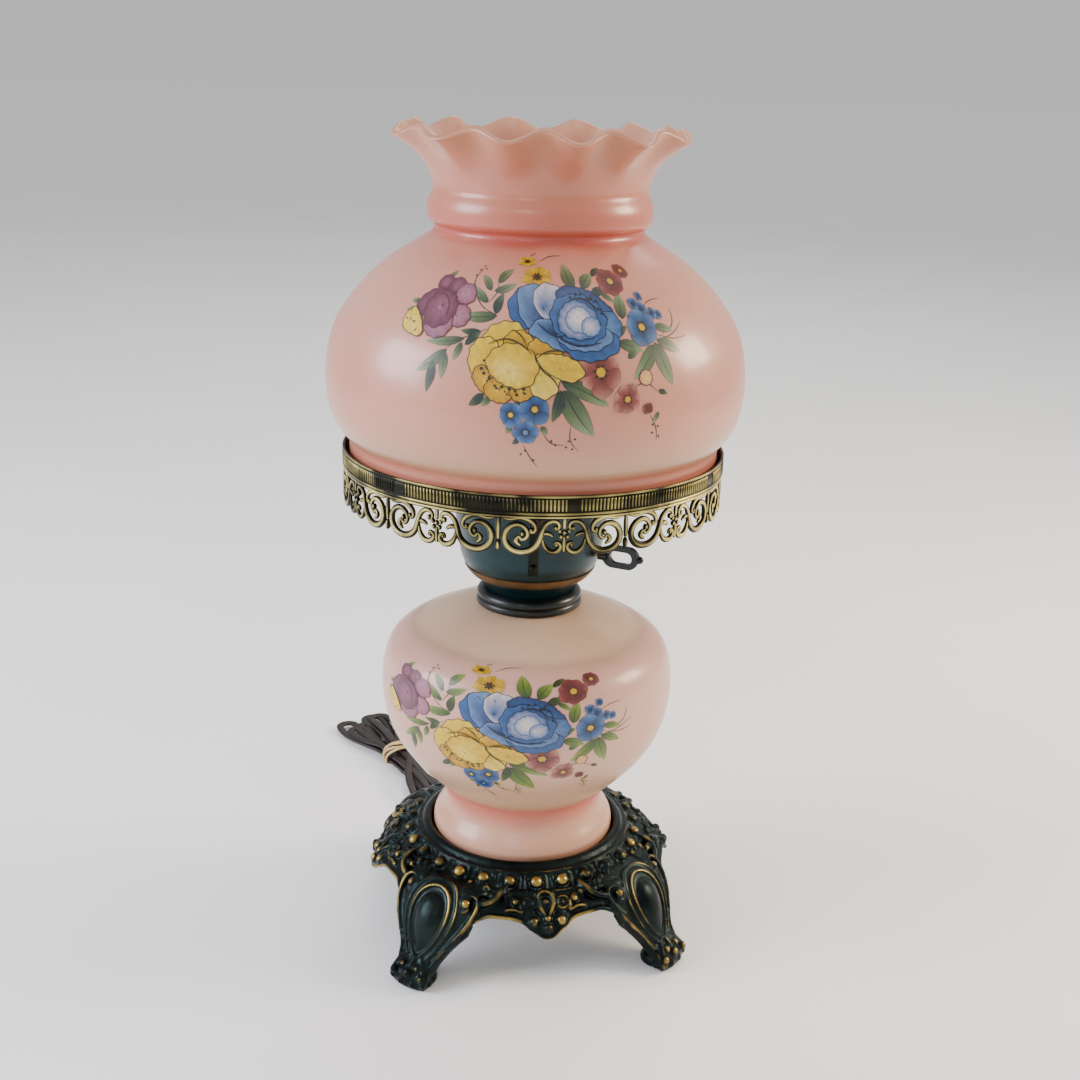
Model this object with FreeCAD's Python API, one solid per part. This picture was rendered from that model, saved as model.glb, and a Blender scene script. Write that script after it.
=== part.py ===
"""Electric parlour lamp in oil-lamp form: painted glass shade and font on a cast footed base.

Millimetres, +Z up. The origin is the middle of the base on the surface the lamp stands on.
Azimuths are counted from the front, -Y, towards +X. Each named piece is written to parts/NAME.step.
"""
import FreeCAD, Part
import math
import os
from FreeCAD import Vector

# ---------------------------------------------------------------- driving dimensions
PIPE_R = 4.95                # threaded lamp pipe, 1/8 inch nominal
PIPE_BORE_R = 3.5
PIPE_BOTTOM = 38.0
PIPE_TOP = 216.0
THREAD_GAP = 0.05            # a nut's bore over the pipe
LOOSE_GAP = 0.35             # a plain hole over the pipe

FOOT_R = 107.0               # radius of the circle the four toes stand on
LEG_COUNT = 4
BEAD_COUNT = 28
BEAD_FIRST_AZIMUTH = -3.0
BEAD_CIRCLE_R = 65.4
BEAD_Z = 53.0
BEAD_R = 3.5
SEAT_Z = 54.0                # ledge that carries the glass font
GASKET_T = 1.0
FONT_BOTTOM = SEAT_Z + GASKET_T
FONT_TOP = 194.5
FONT_WALL = 4.0

FLANGE_R = 29.5
FLANGE_TOP = 203.5
BOWL_TOP = 256.0
BOWL_WALL = 1.2

KEY_AZIMUTH = 56.0
KEY_Z = 228.5
KEY_SHAFT_R = 1.6
ROTOR_R = 3.8
KEY_RUN = 0.06               # running clearance round the key's shaft

RING_R = 103.0               # gallery band, outside
RING_TOP = 285.5
BAND_BOTTOM = 275.0
FILIGREE_BOTTOM = 256.0
FILIGREE_REPEATS = 10
ARM_COUNT = 3
ARM_FIRST_AZIMUTH = -8.0
ARM_WIDTH = 5.0
ARM_T = 2.4
ARM_GAP = 0.35               # between an arm and the bowl

SHADE_BOTTOM = 276.8
SHADE_TOP = 451.0
SHADE_WALL = 3.4

BULB_CAP_R = 13.0            # medium screw base
SCREW_SHELL_R = 13.9
SOCKET_R = 17.0
SOCKET_TOP = 261.0
BULB_BOTTOM = 244.0

CORD_WIDTH = 5.4             # flat two-core lamp cord
CORD_R = CORD_WIDTH / 2
CORD_Z = CORD_R + 0.1        # height of its middle where it lies on the table

TIE_POINT = Vector(-57.1, 191.6, 0)   # middle of the tied hank
HANK_FAR = Vector(-85.3, 264.0, 0)    # its end away from the lamp
HANK_NEAR = Vector(-32.9, 101.5, 0)   # its end beside the base
HANK_HEIGHT = 14.5
TIE_T = 1.2
TIE_WIDTH = 13.0

LEAD_ROUTE = [
    (0, 0, 35.0), (0.5, 1.0, 26.0), (0.5, 5.5, 15.5), (-0.5, 14.5, 7.0), (-3.0, 27.0, 3.2),
    (-9.0, 43.0, CORD_Z), (-13.5, 60.0, CORD_Z), (-13.5, 77.0, CORD_Z), (-19.5, 91.5, CORD_Z),
    (-28.5, 104.0, CORD_Z),
]
TAIL_ROUTE = [
    (-29.5, 132.0, CORD_Z), (-18.5, 127.0, CORD_Z), (-6.0, 124.5, CORD_Z), (6.5, 127.0, CORD_Z),
    (16.5, 135.0, CORD_Z), (21.5, 147.0, CORD_Z),
]

ORIGIN = Vector(0, 0, 0)
UP = Vector(0, 0, 1)


# ---------------------------------------------------------------- shared tools
def save(name, shape):
    """Write one named piece and report its volume."""
    os.makedirs("parts", exist_ok=True)
    shape.exportStep("parts/%s.step" % name)
    solids = len(shape.Solids)
    print("%-18s solids %d valid %s volume %.0f" % (name, solids, shape.isValid(), shape.Volume))


def run_edge(points):
    """A straight edge through two points, or a smooth one through more."""
    places = [Vector(p[0], 0, p[1]) for p in points]
    if len(places) == 2:
        return Part.makeLine(places[0], places[1])
    curve = Part.BSplineCurve()
    curve.interpolate(places)
    return curve.toShape()


def outline(runs):
    """Closed face in the XZ plane; each run starts where the one before ended."""
    closed = list(runs)
    first, last = closed[0][0], closed[-1][-1]
    if math.dist(first, last) > 1e-6:
        closed.append([last, first])
    return Part.Face(Part.Wire([run_edge(run) for run in closed]))


def turned(runs):
    """Solid of revolution about Z from runs of (radius, z)."""
    return outline(runs).revolve(ORIGIN, UP, 360)


def tube(outer, inner, bottom, top):
    """Plain round tube about Z."""
    body = Part.makeCylinder(outer, top - bottom, Vector(0, 0, bottom))
    return body.cut(Part.makeCylinder(inner, top - bottom + 2, Vector(0, 0, bottom - 1)))


def inward(points, wall):
    """The same curve of (radius, z) moved by wall towards its left-hand side."""
    moved = []
    for index, (radius, height) in enumerate(points):
        before = points[max(index - 1, 0)]
        after = points[min(index + 1, len(points) - 1)]
        step_r, step_z = after[0] - before[0], after[1] - before[1]
        size = math.hypot(step_r, step_z)
        moved.append((radius - wall * step_z / size, height + wall * step_r / size))
    return moved


def at_azimuth(shape, azimuth):
    """Turn a shape modelled along +X so that it points along an azimuth from the front."""
    copy = shape.copy()
    copy.rotate(ORIGIN, UP, azimuth - 90.0)
    return copy


def fused(shapes):
    """All the shapes as one solid."""
    return shapes[0].multiFuse(shapes[1:]).removeSplitter()


def hex_nut(across, thickness, bore, bottom):
    """Hexagonal nut about Z."""
    corner = across / math.sqrt(3)
    points = [Vector(corner * math.cos(math.radians(60 * k)), corner * math.sin(math.radians(60 * k)), bottom)
              for k in range(7)]
    body = Part.Face(Part.makePolygon(points)).extrude(Vector(0, 0, thickness))
    return body.cut(Part.makeCylinder(bore, thickness + 2, Vector(0, 0, bottom - 1)))


# ---------------------------------------------------------------- base
def base_ring():
    """Seat ledge, lip, rail and bead channel, turned about Z."""
    return turned([
        [(40.0, SEAT_Z - 3), (40.0, SEAT_Z)],
        [(40.0, SEAT_Z), (53.4, SEAT_Z)],
        [(53.4, SEAT_Z), (53.4, 59.4)],
        [(53.4, 59.4), (55.2, 60.6), (57.6, 59.8), (60.2, 56.0)],
        [(60.2, 56.0), (61.2, 52.4)],
        [(61.2, 52.4), (69.6, 50.6)],
        [(69.6, 50.6), (71.6, 50.2), (72.4, 47.4)],
        [(72.4, 47.4), (68.0, 46.0)],
        [(68.0, 46.0), (56.0, SEAT_Z - 3)],
    ])


def base_skirt():
    """Flared apron under the ring, arched between the legs."""
    shell = turned([
        [(69.0, 50.0), (76.0, 46.5), (83.0, 40.5), (88.0, 32.5)],
        [(88.0, 32.5), (84.6, 30.8)],
        [(84.6, 30.8), (79.5, 37.5), (72.5, 42.0), (66.0, 45.5)],
    ])
    cutters = []
    for side in range(LEG_COUNT):
        for offset in (-17.0, 17.0):
            arch = Part.makeCylinder(9.0, 60, Vector(60, 0, 29.0), Vector(1, 0, 0))
            cutters.append(at_azimuth(arch, side * 90 + offset))
            pierced = Part.makeCylinder(3.2, 30, Vector(78.5, 0, 30))
            cutters.append(at_azimuth(pierced, side * 90 + offset * 1.1))
    return shell.cut(cutters[0].multiFuse(cutters[1:]))


LEG_FRONT = [(16.5, 60.0), (18.0, 47.0), (22.5, 39.5), (26.5, 33.5), (22.0, 26.0), (15.5, 18.0), (12.0, 11.0),
             (11.6, 5.0), (11.6, -1.0)]      # half width of a leg at each height


def leg_body():
    """Turned shell that all four legs are cut from: shoulder, knee and toe."""
    return turned([
        [(66.0, 49.5), (74.0, 48.6), (83.0, 41.5), (89.0, 32.0), (93.0, 23.0), (97.5, 14.5), (104.0, 9.5),
         (107.5, 4.5), (106.5, 0.0)],
        [(106.5, 0.0), (92.0, 0.0)],
        [(92.0, 0.0), (88.5, 9.0), (84.5, 19.0), (79.0, 29.0), (71.0, 38.0), (64.0, 45.0)],
    ])


def base_leg(body):
    """One leg along +X with its raised cartouche and rounded toe."""
    right = [Vector(60, y, z) for y, z in LEG_FRONT]
    left = [Vector(60, -y, z) for y, z in reversed(LEG_FRONT)]
    edges = []
    for places in (right, left):
        curve = Part.BSplineCurve()
        curve.interpolate(places)
        edges.append(curve.toShape())
    bottom = Part.makeLine(right[-1], left[0])
    top = Part.makeLine(left[-1], right[0])
    front = Part.Face(Part.Wire([edges[0], bottom, edges[1], top])).extrude(Vector(60, 0, 0))
    boss = Part.makeSphere(30.0, Vector(61.0, 0, 26.0))
    rim = Part.makeCylinder(8.0, 60, Vector(62, 0, 31.0), Vector(1, 0, 0.12))
    toe = Part.makeCone(13.2, 9.0, 11.0, Vector(93.8, 0, 0.0))
    return fused([body.common(front), boss.common(rim), toe])


def base_medallion():
    """Shell ornament in the middle of a side, along +X."""
    plate = Part.makeCylinder(11.0, 2.6, Vector(80.6, 0, 38.6), Vector(0.68, 0, 0.73))
    beads = []
    for step in range(5):
        turn = math.radians(-80 + 40 * step)
        beads.append(Part.makeSphere(2.7, Vector(82.5 + 5.5 * math.cos(turn) * 0.73, 8.0 * math.sin(turn),
                                                 40.0 - 5.5 * math.cos(turn) * 0.68)))
    return fused([plate] + beads)


def cast_base():
    """The whole casting: ring, skirt, legs, medallions and beads."""
    pieces = [base_ring(), base_skirt()]
    leg_shape = base_leg(leg_body())
    for leg in range(LEG_COUNT):
        pieces.append(at_azimuth(leg_shape, leg * 90 + 45))
        pieces.append(at_azimuth(base_medallion(), leg * 90))
    for bead in range(BEAD_COUNT):
        ball = Part.makeSphere(BEAD_R, Vector(BEAD_CIRCLE_R, 0, BEAD_Z))
        pieces.append(at_azimuth(ball, BEAD_FIRST_AZIMUTH + bead * 360.0 / BEAD_COUNT))
    return fused(pieces)


def make_base():
    save("cast_base", cast_base())
    save("base_gasket", tube(52.0, 42.5, SEAT_Z, FONT_BOTTOM))
    save("base_plate", tube(46.0, PIPE_R + LOOSE_GAP, SEAT_Z - 4.6, SEAT_Z - 3))
    washer = tube(9.0, PIPE_R + LOOSE_GAP, SEAT_Z - 6.2, SEAT_Z - 4.6)
    gap = Part.makeBox(10, 1.2, 4, Vector(0, -0.6, SEAT_Z - 7.4))
    save("lock_washer", washer.cut(gap))
    save("base_nut", hex_nut(14.3, 4.6, PIPE_R + THREAD_GAP, SEAT_Z - 10.8))
    save("lamp_pipe", tube(PIPE_R, PIPE_BORE_R, PIPE_BOTTOM, PIPE_TOP))
    save("pipe_bushing", turned([
        [(2.85, 35.0), (6.2, 35.0)],
        [(6.2, 35.0), (6.6, 36.4), (6.2, PIPE_BOTTOM)],
        [(6.2, PIPE_BOTTOM), (PIPE_BORE_R - 0.02, PIPE_BOTTOM)],
        [(PIPE_BORE_R - 0.02, PIPE_BOTTOM), (PIPE_BORE_R - 0.02, 44.0)],
        [(PIPE_BORE_R - 0.02, 44.0), (2.85, 44.0)],
    ]))
    save("inner_lead", Part.makeCylinder(CORD_R, 180.0, Vector(0, 0, 35.0)))


# ---------------------------------------------------------------- font
FONT_FOOT = [(51.0, FONT_BOTTOM), (52.0, 59.0), (51.0, 65.5), (47.6, 71.0), (45.6, 76.0)]
FONT_NECK = [(45.6, 76.0), (45.3, 80.5), (46.2, 85.5)]
FONT_BULB = [(46.2, 85.5), (54.0, 93.0), (64.0, 103.5), (73.0, 115.5), (79.3, 130.0), (81.9, 146.0),
             (80.9, 161.0), (76.6, 172.5), (66.0, 180.8)]
FONT_CROWN = [(66.0, 180.8), (56.0, 185.4), (44.0, 190.2), (30.0, 193.9), (22.5, FONT_TOP)]
FONT_MOUTH_R = 22.5


def make_font():
    inner = inward(FONT_FOOT + FONT_NECK[1:] + FONT_BULB[1:] + FONT_CROWN[1:], FONT_WALL)
    inner[0] = (44.5, FONT_BOTTOM)
    inner[-1] = (FONT_MOUTH_R, FONT_TOP - FONT_WALL)
    save("glass_font", turned([
        FONT_FOOT, FONT_NECK, FONT_BULB, FONT_CROWN,
        [(FONT_MOUTH_R, FONT_TOP), inner[-1]],
        inner[::-1],
        [inner[0], FONT_FOOT[0]],
    ]))
    save("font_collar", turned([
        [(PIPE_R + LOOSE_GAP, 196.0), (PIPE_R + LOOSE_GAP, 198.0)],
        [(PIPE_R + LOOSE_GAP, 198.0), (25.5, 198.0)],
        [(25.5, 198.0), (25.5, FONT_TOP + 0.3)],
        [(25.5, FONT_TOP + 0.3), (22.2, FONT_TOP + 0.3)],
        [(22.2, FONT_TOP + 0.3), (22.2, 188.0)],
        [(22.2, 188.0), (20.8, 188.0)],
        [(20.8, 188.0), (20.8, 196.0)],
    ]))
    save("burner_flange", turned([
        [(PIPE_R + LOOSE_GAP, 198.0), (PIPE_R + LOOSE_GAP, FLANGE_TOP)],
        [(PIPE_R + LOOSE_GAP, FLANGE_TOP), (24.6, FLANGE_TOP)],
        [(24.6, FLANGE_TOP), (27.6, 203.2), (29.2, 201.0), (28.6, 198.6)],
        [(28.6, 198.6), (29.4, 197.6), (FLANGE_R, 195.9), (28.9, 194.8)],
        [(28.9, 194.8), (25.5, 194.8)],
        [(25.5, 194.8), (25.5, 198.0)],
    ]))


# ---------------------------------------------------------------- burner bowl
BOWL_LOW = [(24.6, FLANGE_TOP), (25.6, 205.8), (28.4, 209.2), (31.8, 212.7)]
BOWL_BAND = [(31.8, 212.7), (34.0, 215.0), (35.8, 217.7)]
BOWL_SIDE = [(35.8, 217.7), (38.4, 223.5), (39.8, 231.0), (41.0, 241.0), (43.0, 250.0), (45.0, BOWL_TOP)]


def radial_hole(radius, start=8.0, length=60.0):
    """Cutter for the key's shaft, along the key's azimuth."""
    drill = Part.makeCylinder(radius, length, Vector(start, 0, KEY_Z), Vector(1, 0, 0))
    return at_azimuth(drill, KEY_AZIMUTH)


def make_bowl():
    outer = BOWL_LOW + BOWL_BAND[1:] + BOWL_SIDE[1:]
    inner = inward(outer, BOWL_WALL)
    floor = FLANGE_TOP + BOWL_WALL
    inner[0] = (23.4, floor)
    bowl = turned([
        [(PIPE_R + LOOSE_GAP, FLANGE_TOP), (24.6, FLANGE_TOP)],
        outer,
        [outer[-1], inner[-1]],
        inner[::-1],
        [inner[0], (PIPE_R + LOOSE_GAP, floor)],
    ])
    save("burner_bowl", bowl.cut(radial_hole(KEY_SHAFT_R + KEY_RUN)))
    proud = inward(BOWL_BAND, -0.7)
    save("bowl_band", turned([BOWL_BAND, [BOWL_BAND[-1], proud[-1]], proud[::-1]]))
    save("bowl_nut", hex_nut(14.3, 4.4, PIPE_R + THREAD_GAP, floor))


# ---------------------------------------------------------------- socket and key
def make_socket():
    cap_bottom = FLANGE_TOP + BOWL_WALL + 4.4
    save("socket_cap", turned([
        [(PIPE_R + THREAD_GAP, cap_bottom), (8.0, cap_bottom)],
        [(8.0, cap_bottom), (9.0, 211.5), (14.5, 214.5), (SOCKET_R + 0.9, 219.0)],
        [(SOCKET_R + 0.9, 219.0), (SOCKET_R + 0.9, 223.0)],
        [(SOCKET_R + 0.9, 223.0), (SOCKET_R + 0.1, 223.0)],
        [(SOCKET_R + 0.1, 223.0), (SOCKET_R + 0.1, 219.4), (13.8, 215.4), (PIPE_R + THREAD_GAP, 212.6)],
    ]))
    hole = radial_hole(KEY_SHAFT_R + 0.6)
    save("socket_shell", tube(SOCKET_R, SOCKET_R - 0.6, 220.0, SOCKET_TOP).cut(hole))
    save("socket_sleeve", tube(SOCKET_R - 0.7, SOCKET_R - 1.6, 220.5, SOCKET_TOP - 1).cut(hole))
    body = Part.makeCylinder(15.2, 16.5, Vector(0, 0, 223.5))
    body = body.cut(radial_hole(ROTOR_R + KEY_RUN, -4.0, 13.0))
    body = body.cut(radial_hole(KEY_SHAFT_R + 0.6))
    for side in (-90.0, 90.0):
        pocket = Part.makeBox(8.0, 9.0, 7.0, Vector(10.0, -4.5, 222.0))
        body = body.cut(at_azimuth(pocket, KEY_AZIMUTH + side))
    save("socket_body", body)
    save("screw_shell", turned([
        [(SCREW_SHELL_R - 0.5, 241.0), (SCREW_SHELL_R - 0.5, 259.0)],
        [(SCREW_SHELL_R - 0.5, 259.0), (SCREW_SHELL_R, 259.0)],
        [(SCREW_SHELL_R, 259.0), (SCREW_SHELL_R, 240.0)],
        [(SCREW_SHELL_R, 240.0), (8.0, 240.0)],
        [(8.0, 240.0), (8.0, 241.0)],
    ]))
    tongue = Part.makeBox(9.0, 4.0, 0.6, Vector(-4.5, -2.0, 242.9))
    post = Part.makeBox(1.2, 4.0, 3.2, Vector(-4.5, -2.0, 240.0))
    save("centre_contact", tongue.fuse(post))
    screws = []
    for side in (-90.0, 90.0):
        shank = Part.makeCylinder(1.4, 1.6, Vector(10.05, 0, 226.0), Vector(1, 0, 0))
        head = Part.makeCylinder(2.6, 1.6, Vector(11.6, 0, 226.0), Vector(1, 0, 0))
        screws.append(at_azimuth(shank.fuse(head), KEY_AZIMUTH + side))
    save("terminal_screws", Part.makeCompound(screws))
    save("switch_rotor", at_azimuth(Part.makeCylinder(ROTOR_R, 12.0, Vector(-3.5, 0, KEY_Z), Vector(1, 0, 0)),
                                    KEY_AZIMUTH))
    save("key_shaft", at_azimuth(Part.makeCylinder(KEY_SHAFT_R, 35.5, Vector(8.5, 0, KEY_Z), Vector(1, 0, 0)),
                                 KEY_AZIMUTH))
    save("turn_key", at_azimuth(turn_key(), KEY_AZIMUTH))


def rounded_slot(length, height, thickness, middle):
    """Stadium plate in the XZ plane, centred on Y."""
    radius = height / 2
    reach = length / 2 - radius
    ends = [Part.makeCylinder(radius, thickness, Vector(middle + side * reach, -thickness / 2, KEY_Z),
                              Vector(0, 1, 0)) for side in (-1, 1)]
    web = Part.makeBox(2 * reach, thickness, height, Vector(middle - reach, -thickness / 2, KEY_Z - radius))
    return fused([ends[0], ends[1], web])


def turn_key():
    """Flat thumb key with an open loop, pointing along +X."""
    loop = rounded_slot(21.0, 12.4, 3.2, 53.5).cut(rounded_slot(12.6, 6.8, 6.0, 53.9))
    hub = Part.makeCylinder(3.2, 5.0, Vector(41.0, 0, KEY_Z), Vector(1, 0, 0))
    tip = Part.makeSphere(2.1, Vector(64.4, 0, KEY_Z))
    bore = Part.makeCylinder(KEY_SHAFT_R, 3.5, Vector(40.5, 0, KEY_Z), Vector(1, 0, 0))
    return fused([loop, hub, tip]).cut(bore)


# ---------------------------------------------------------------- bulb
def make_bulb():
    cap_top = BULB_BOTTOM + 23.0
    glass = [(12.4, cap_top), (14.5, cap_top + 9), (22.5, cap_top + 26), (29.0, cap_top + 43),
             (29.6, cap_top + 54), (24.5, cap_top + 70), (13.5, cap_top + 80), (0.0, cap_top + 84)]
    inner = [(11.4, cap_top), (13.5, cap_top + 9.3), (21.5, cap_top + 26.4), (28.0, cap_top + 43.2),
             (28.6, cap_top + 53.8), (23.7, cap_top + 69.4), (13.0, cap_top + 79), (0.0, cap_top + 83)]
    save("bulb_glass", turned([glass, [glass[-1], inner[-1]], inner[::-1], [inner[0], glass[0]]]))
    save("bulb_cap", turned([
        [(0.0, BULB_BOTTOM + 0.8), (0.0, BULB_BOTTOM + 2.0)],
        [(0.0, BULB_BOTTOM + 2.0), (11.6, BULB_BOTTOM + 4.6)],
        [(11.6, BULB_BOTTOM + 4.6), (12.2, cap_top)],
        [(12.2, cap_top), (BULB_CAP_R, cap_top)],
        [(BULB_CAP_R, cap_top), (BULB_CAP_R, BULB_BOTTOM + 4.0)],
        [(BULB_CAP_R, BULB_BOTTOM + 4.0), (5.0, BULB_BOTTOM + 0.8)],
    ]))
    save("bulb_contact", Part.makeCylinder(4.2, 1.0, Vector(0, 0, BULB_BOTTOM - 0.2)))
    stem = turned([
        [(0.0, cap_top - 14.0), (9.5, cap_top - 14.0)],
        [(9.5, cap_top - 14.0), (3.5, cap_top + 4), (2.5, cap_top + 26)],
        [(2.5, cap_top + 26), (0.0, cap_top + 26)],
    ])
    wires = []
    for side in (-1, 1):
        wires.append(Part.makeCylinder(0.5, 20, Vector(side * 1.8, 0, cap_top + 24), Vector(side * 0.45, 0, 1)))
    coil = Part.makeCylinder(0.9, 20, Vector(-10.0, 0, cap_top + 42), Vector(1, 0, 0))
    save("bulb_filament", fused([stem] + wires + [coil]))


# ---------------------------------------------------------------- shade holder
def arm_middle():
    """Middle line of a holder arm, (radius, z): from the shade seat in to the bowl and down its side."""
    down_the_bowl = inward(BOWL_SIDE[1:5], -(ARM_T / 2 + ARM_GAP))
    return [(93.0, BAND_BOTTOM - ARM_T), (87.0, 267.3), (76.0, 262.4), (60.0, 258.8)] + down_the_bowl[::-1]


def holder_arm():
    """One bent strip along +X, with a flat tab under the shade seat."""
    middle = arm_middle()
    upper = inward(middle, -ARM_T / 2)
    lower = inward(middle, ARM_T / 2)
    strip = outline([upper, [upper[-1], lower[-1]], lower[::-1]]).extrude(Vector(0, ARM_WIDTH, 0))
    strip.translate(Vector(0, -ARM_WIDTH / 2, 0))
    tab = Part.makeBox(9.0, ARM_WIDTH, ARM_T, Vector(91.0, -ARM_WIDTH / 2, BAND_BOTTOM - ARM_T))
    return fused([strip, tab])


def gallery_band():
    """Rolled rim, reeded band and the ledge that the shade stands on."""
    seat = SHADE_BOTTOM
    band = turned([
        [(93.5, BAND_BOTTOM), (93.5, seat)],
        [(93.5, seat), (101.4, seat)],
        [(101.4, seat), (101.4, RING_TOP - 1.6)],
        [(101.4, RING_TOP - 1.6), (101.3, RING_TOP - 0.4), (102.4, RING_TOP), (RING_R, RING_TOP - 1.2)],
        [(RING_R, RING_TOP - 1.2), (102.5, RING_TOP - 2.2)],
        [(102.5, RING_TOP - 2.2), (102.5, BAND_BOTTOM + 1.6)],
        [(102.5, BAND_BOTTOM + 1.6), (RING_R, BAND_BOTTOM + 0.8)],
        [(RING_R, BAND_BOTTOM + 0.8), (102.4, BAND_BOTTOM)],
    ])
    return band


def filigree_repeat():
    """Cutters of one repeat of the pierced skirt along +X: eyes of the C scrolls and of the palmette."""
    middle_z = (FILIGREE_BOTTOM + BAND_BOTTOM) / 2
    per_mm = math.degrees(1 / RING_R)

    def hole(offset_mm, height, radius):
        drill = Part.makeCylinder(radius, 12, Vector(95, 0, height), Vector(1, 0, 0))
        drill.rotate(ORIGIN, UP, offset_mm * per_mm)
        return drill

    holes = []
    for side in (-1, 1):
        holes.append(hole(side * 21.5, middle_z + 1.0, 6.4))
        holes.append(hole(side * 6.6, middle_z + 2.6, 4.6))
        holes.append(hole(side * 10.8, middle_z - 5.6, 2.5))
    return holes


def gallery_filigree():
    """Thin pierced skirt that hangs under the band, its lower edge scalloped."""
    skirt = tube(102.2, 100.6, FILIGREE_BOTTOM, BAND_BOTTOM)
    cutters = []
    pitch = 360.0 / FILIGREE_REPEATS
    notch = Part.makeCylinder(6.0, 12, Vector(95, 0, FILIGREE_BOTTOM - 3.0), Vector(1, 0, 0))
    for k in range(FILIGREE_REPEATS):
        for share in (0.25, 0.75):
            scallop = notch.copy()
            scallop.rotate(ORIGIN, UP, (k + share) * pitch)
            cutters.append(scallop)
        for drill in filigree_repeat():
            drill.rotate(ORIGIN, UP, k * pitch)
            cutters.append(drill)
    return skirt.cut(cutters)


def make_holder():
    arms = [at_azimuth(holder_arm(), ARM_FIRST_AZIMUTH + 360.0 * k / ARM_COUNT) for k in range(ARM_COUNT)]
    for number, arm in enumerate(arms, 1):
        save("holder_arm_%d" % number, arm)
    rivets, screws = [], []
    for k in range(ARM_COUNT):
        azimuth = ARM_FIRST_AZIMUTH + 360.0 * k / ARM_COUNT
        rivet = Part.makeCone(1.6, 2.2, 1.2, Vector(96.0, 0, BAND_BOTTOM - ARM_T - 1.2))
        rivets.append(at_azimuth(rivet, azimuth))
        screws.append(at_azimuth(Part.makeSphere(2.0, Vector(42.0, 0, 228.0)), azimuth))
    save("arm_rivets", Part.makeCompound(rivets))
    save("arm_screws", Part.makeCompound([screw.cut(arm) for screw, arm in zip(screws, arms)]))
    save("gallery_band", gallery_band())
    save("gallery_filigree", gallery_filigree())


# ---------------------------------------------------------------- shade
SHADE_FITTER = [(99.0, SHADE_BOTTOM), (99.0, 290.5)]
SHADE_BODY = [(99.0, 290.5), (104.3, 296.5), (108.8, 305.0), (110.9, 316.0), (111.2, 326.0), (109.8, 338.0),
              (106.4, 350.0), (100.0, 361.0), (91.0, 372.0), (79.0, 383.0), (66.0, 391.5), (56.0, 397.5)]
SHADE_NECK = [(56.0, 397.5), (54.6, 400.8), (57.4, 405.2), (56.6, 412.0), (55.8, 419.0), (57.4, 427.0),
              (61.6, 434.5), (67.6, 442.0), (75.4, 449.0)]


def make_shade():
    body_in = inward(SHADE_BODY, SHADE_WALL)
    neck_in = inward(SHADE_NECK, SHADE_WALL)
    body_in[0] = (SHADE_FITTER[0][0] - SHADE_WALL, 292.0)
    join = (52.0, 398.8)
    body_in[-1] = join
    neck_in[0] = join
    foot_in = (SHADE_FITTER[0][0] - SHADE_WALL, SHADE_BOTTOM)
    save("shade_glass", turned([
        SHADE_FITTER, SHADE_BODY, SHADE_NECK,
        [SHADE_NECK[-1], (75.2, SHADE_TOP), neck_in[-1]],
        neck_in[::-1],
        body_in[::-1],
        [body_in[0], foot_in],
    ]))


# ---------------------------------------------------------------- cord
def route_tube(name, points, radius):
    """Tube along straight runs joined by tangent arcs; prints each arc's radius."""
    places = [Vector(*p) for p in points]
    edges, radii = [], []
    start = places[0]
    for before, corner, after in zip(places, places[1:], places[2:]):
        into = (corner - before).normalize()
        out = (after - corner).normalize()
        turn = into.getAngle(out)
        shorter = min((corner - before).Length, (after - corner).Length)
        trim = 0.45 * shorter
        bend = trim / math.tan(turn / 2)
        radii.append(round(bend, 1))
        arc_in = corner - into * trim
        arc_out = corner + out * trim
        inward_dir = (out - into).normalize()
        middle = corner + inward_dir * (bend / math.cos(turn / 2) - bend)
        edges.append(Part.makeLine(start, arc_in))
        edges.append(Part.Arc(arc_in, middle, arc_out).toShape())
        start = arc_out
    edges.append(Part.makeLine(start, places[-1]))
    path = Part.Wire(edges)
    section = Part.Wire(Part.makeCircle(radius, places[0], places[1] - places[0]))
    solid = path.makePipeShell([section], True, False)
    expected = math.pi * radius ** 2 * path.Length
    print("%s length %.0f radii %s volume ratio %.4f" % (name, path.Length, radii, solid.Volume / expected))
    save(name, solid)


def hank_solid(grow=0.0):
    """Outer shape of the tied hank: narrow under the tie, fanned out at both ends."""
    far, near = HANK_FAR - TIE_POINT, HANK_NEAR - TIE_POINT
    stations = [(far, 0.93, 13.0), (far, 0.72, 21.0), (far, 0.4, 15.0), (far, 0.12, 8.0),
                (near, 0.12, 8.0), (near, 0.45, 12.5), (near, 0.75, 15.5), (near, 0.94, 10.0)]
    right, left = [], []
    for end, share, half in stations:
        across = Vector(end.y, -end.x, 0).normalize()
        if end is near:
            across = across * -1
        right.append(TIE_POINT + end * share + across * (half + grow))
        left.append(TIE_POINT + end * share - across * (half + grow))
    ring = [HANK_FAR] + right + [HANK_NEAR] + left[::-1]
    curve = Part.BSplineCurve()
    curve.interpolate(ring, PeriodicFlag=True)
    plan = Part.Face(Part.Wire(curve.toShape()))
    low = TIE_T + 0.1 - grow
    slab = plan.extrude(Vector(0, 0, HANK_HEIGHT + grow - low))
    slab.translate(Vector(0, 0, low))
    return slab


def make_cord():
    route_tube("cord_lead", LEAD_ROUTE, CORD_R)
    route_tube("cord_tail", TAIL_ROUTE, CORD_R)
    hank = hank_solid()
    save("cord_hank", hank)
    wide = hank_solid(TIE_T)
    along = HANK_FAR - HANK_NEAR
    slice_box = Part.makeBox(TIE_WIDTH, 80, 60, Vector(-TIE_WIDTH / 2, -40, -20))
    slice_box.rotate(ORIGIN, UP, math.degrees(math.atan2(along.y, along.x)))
    slice_box.translate(TIE_POINT)
    save("hank_tie", wide.common(slice_box).cut(hank))
    make_plug()


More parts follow.
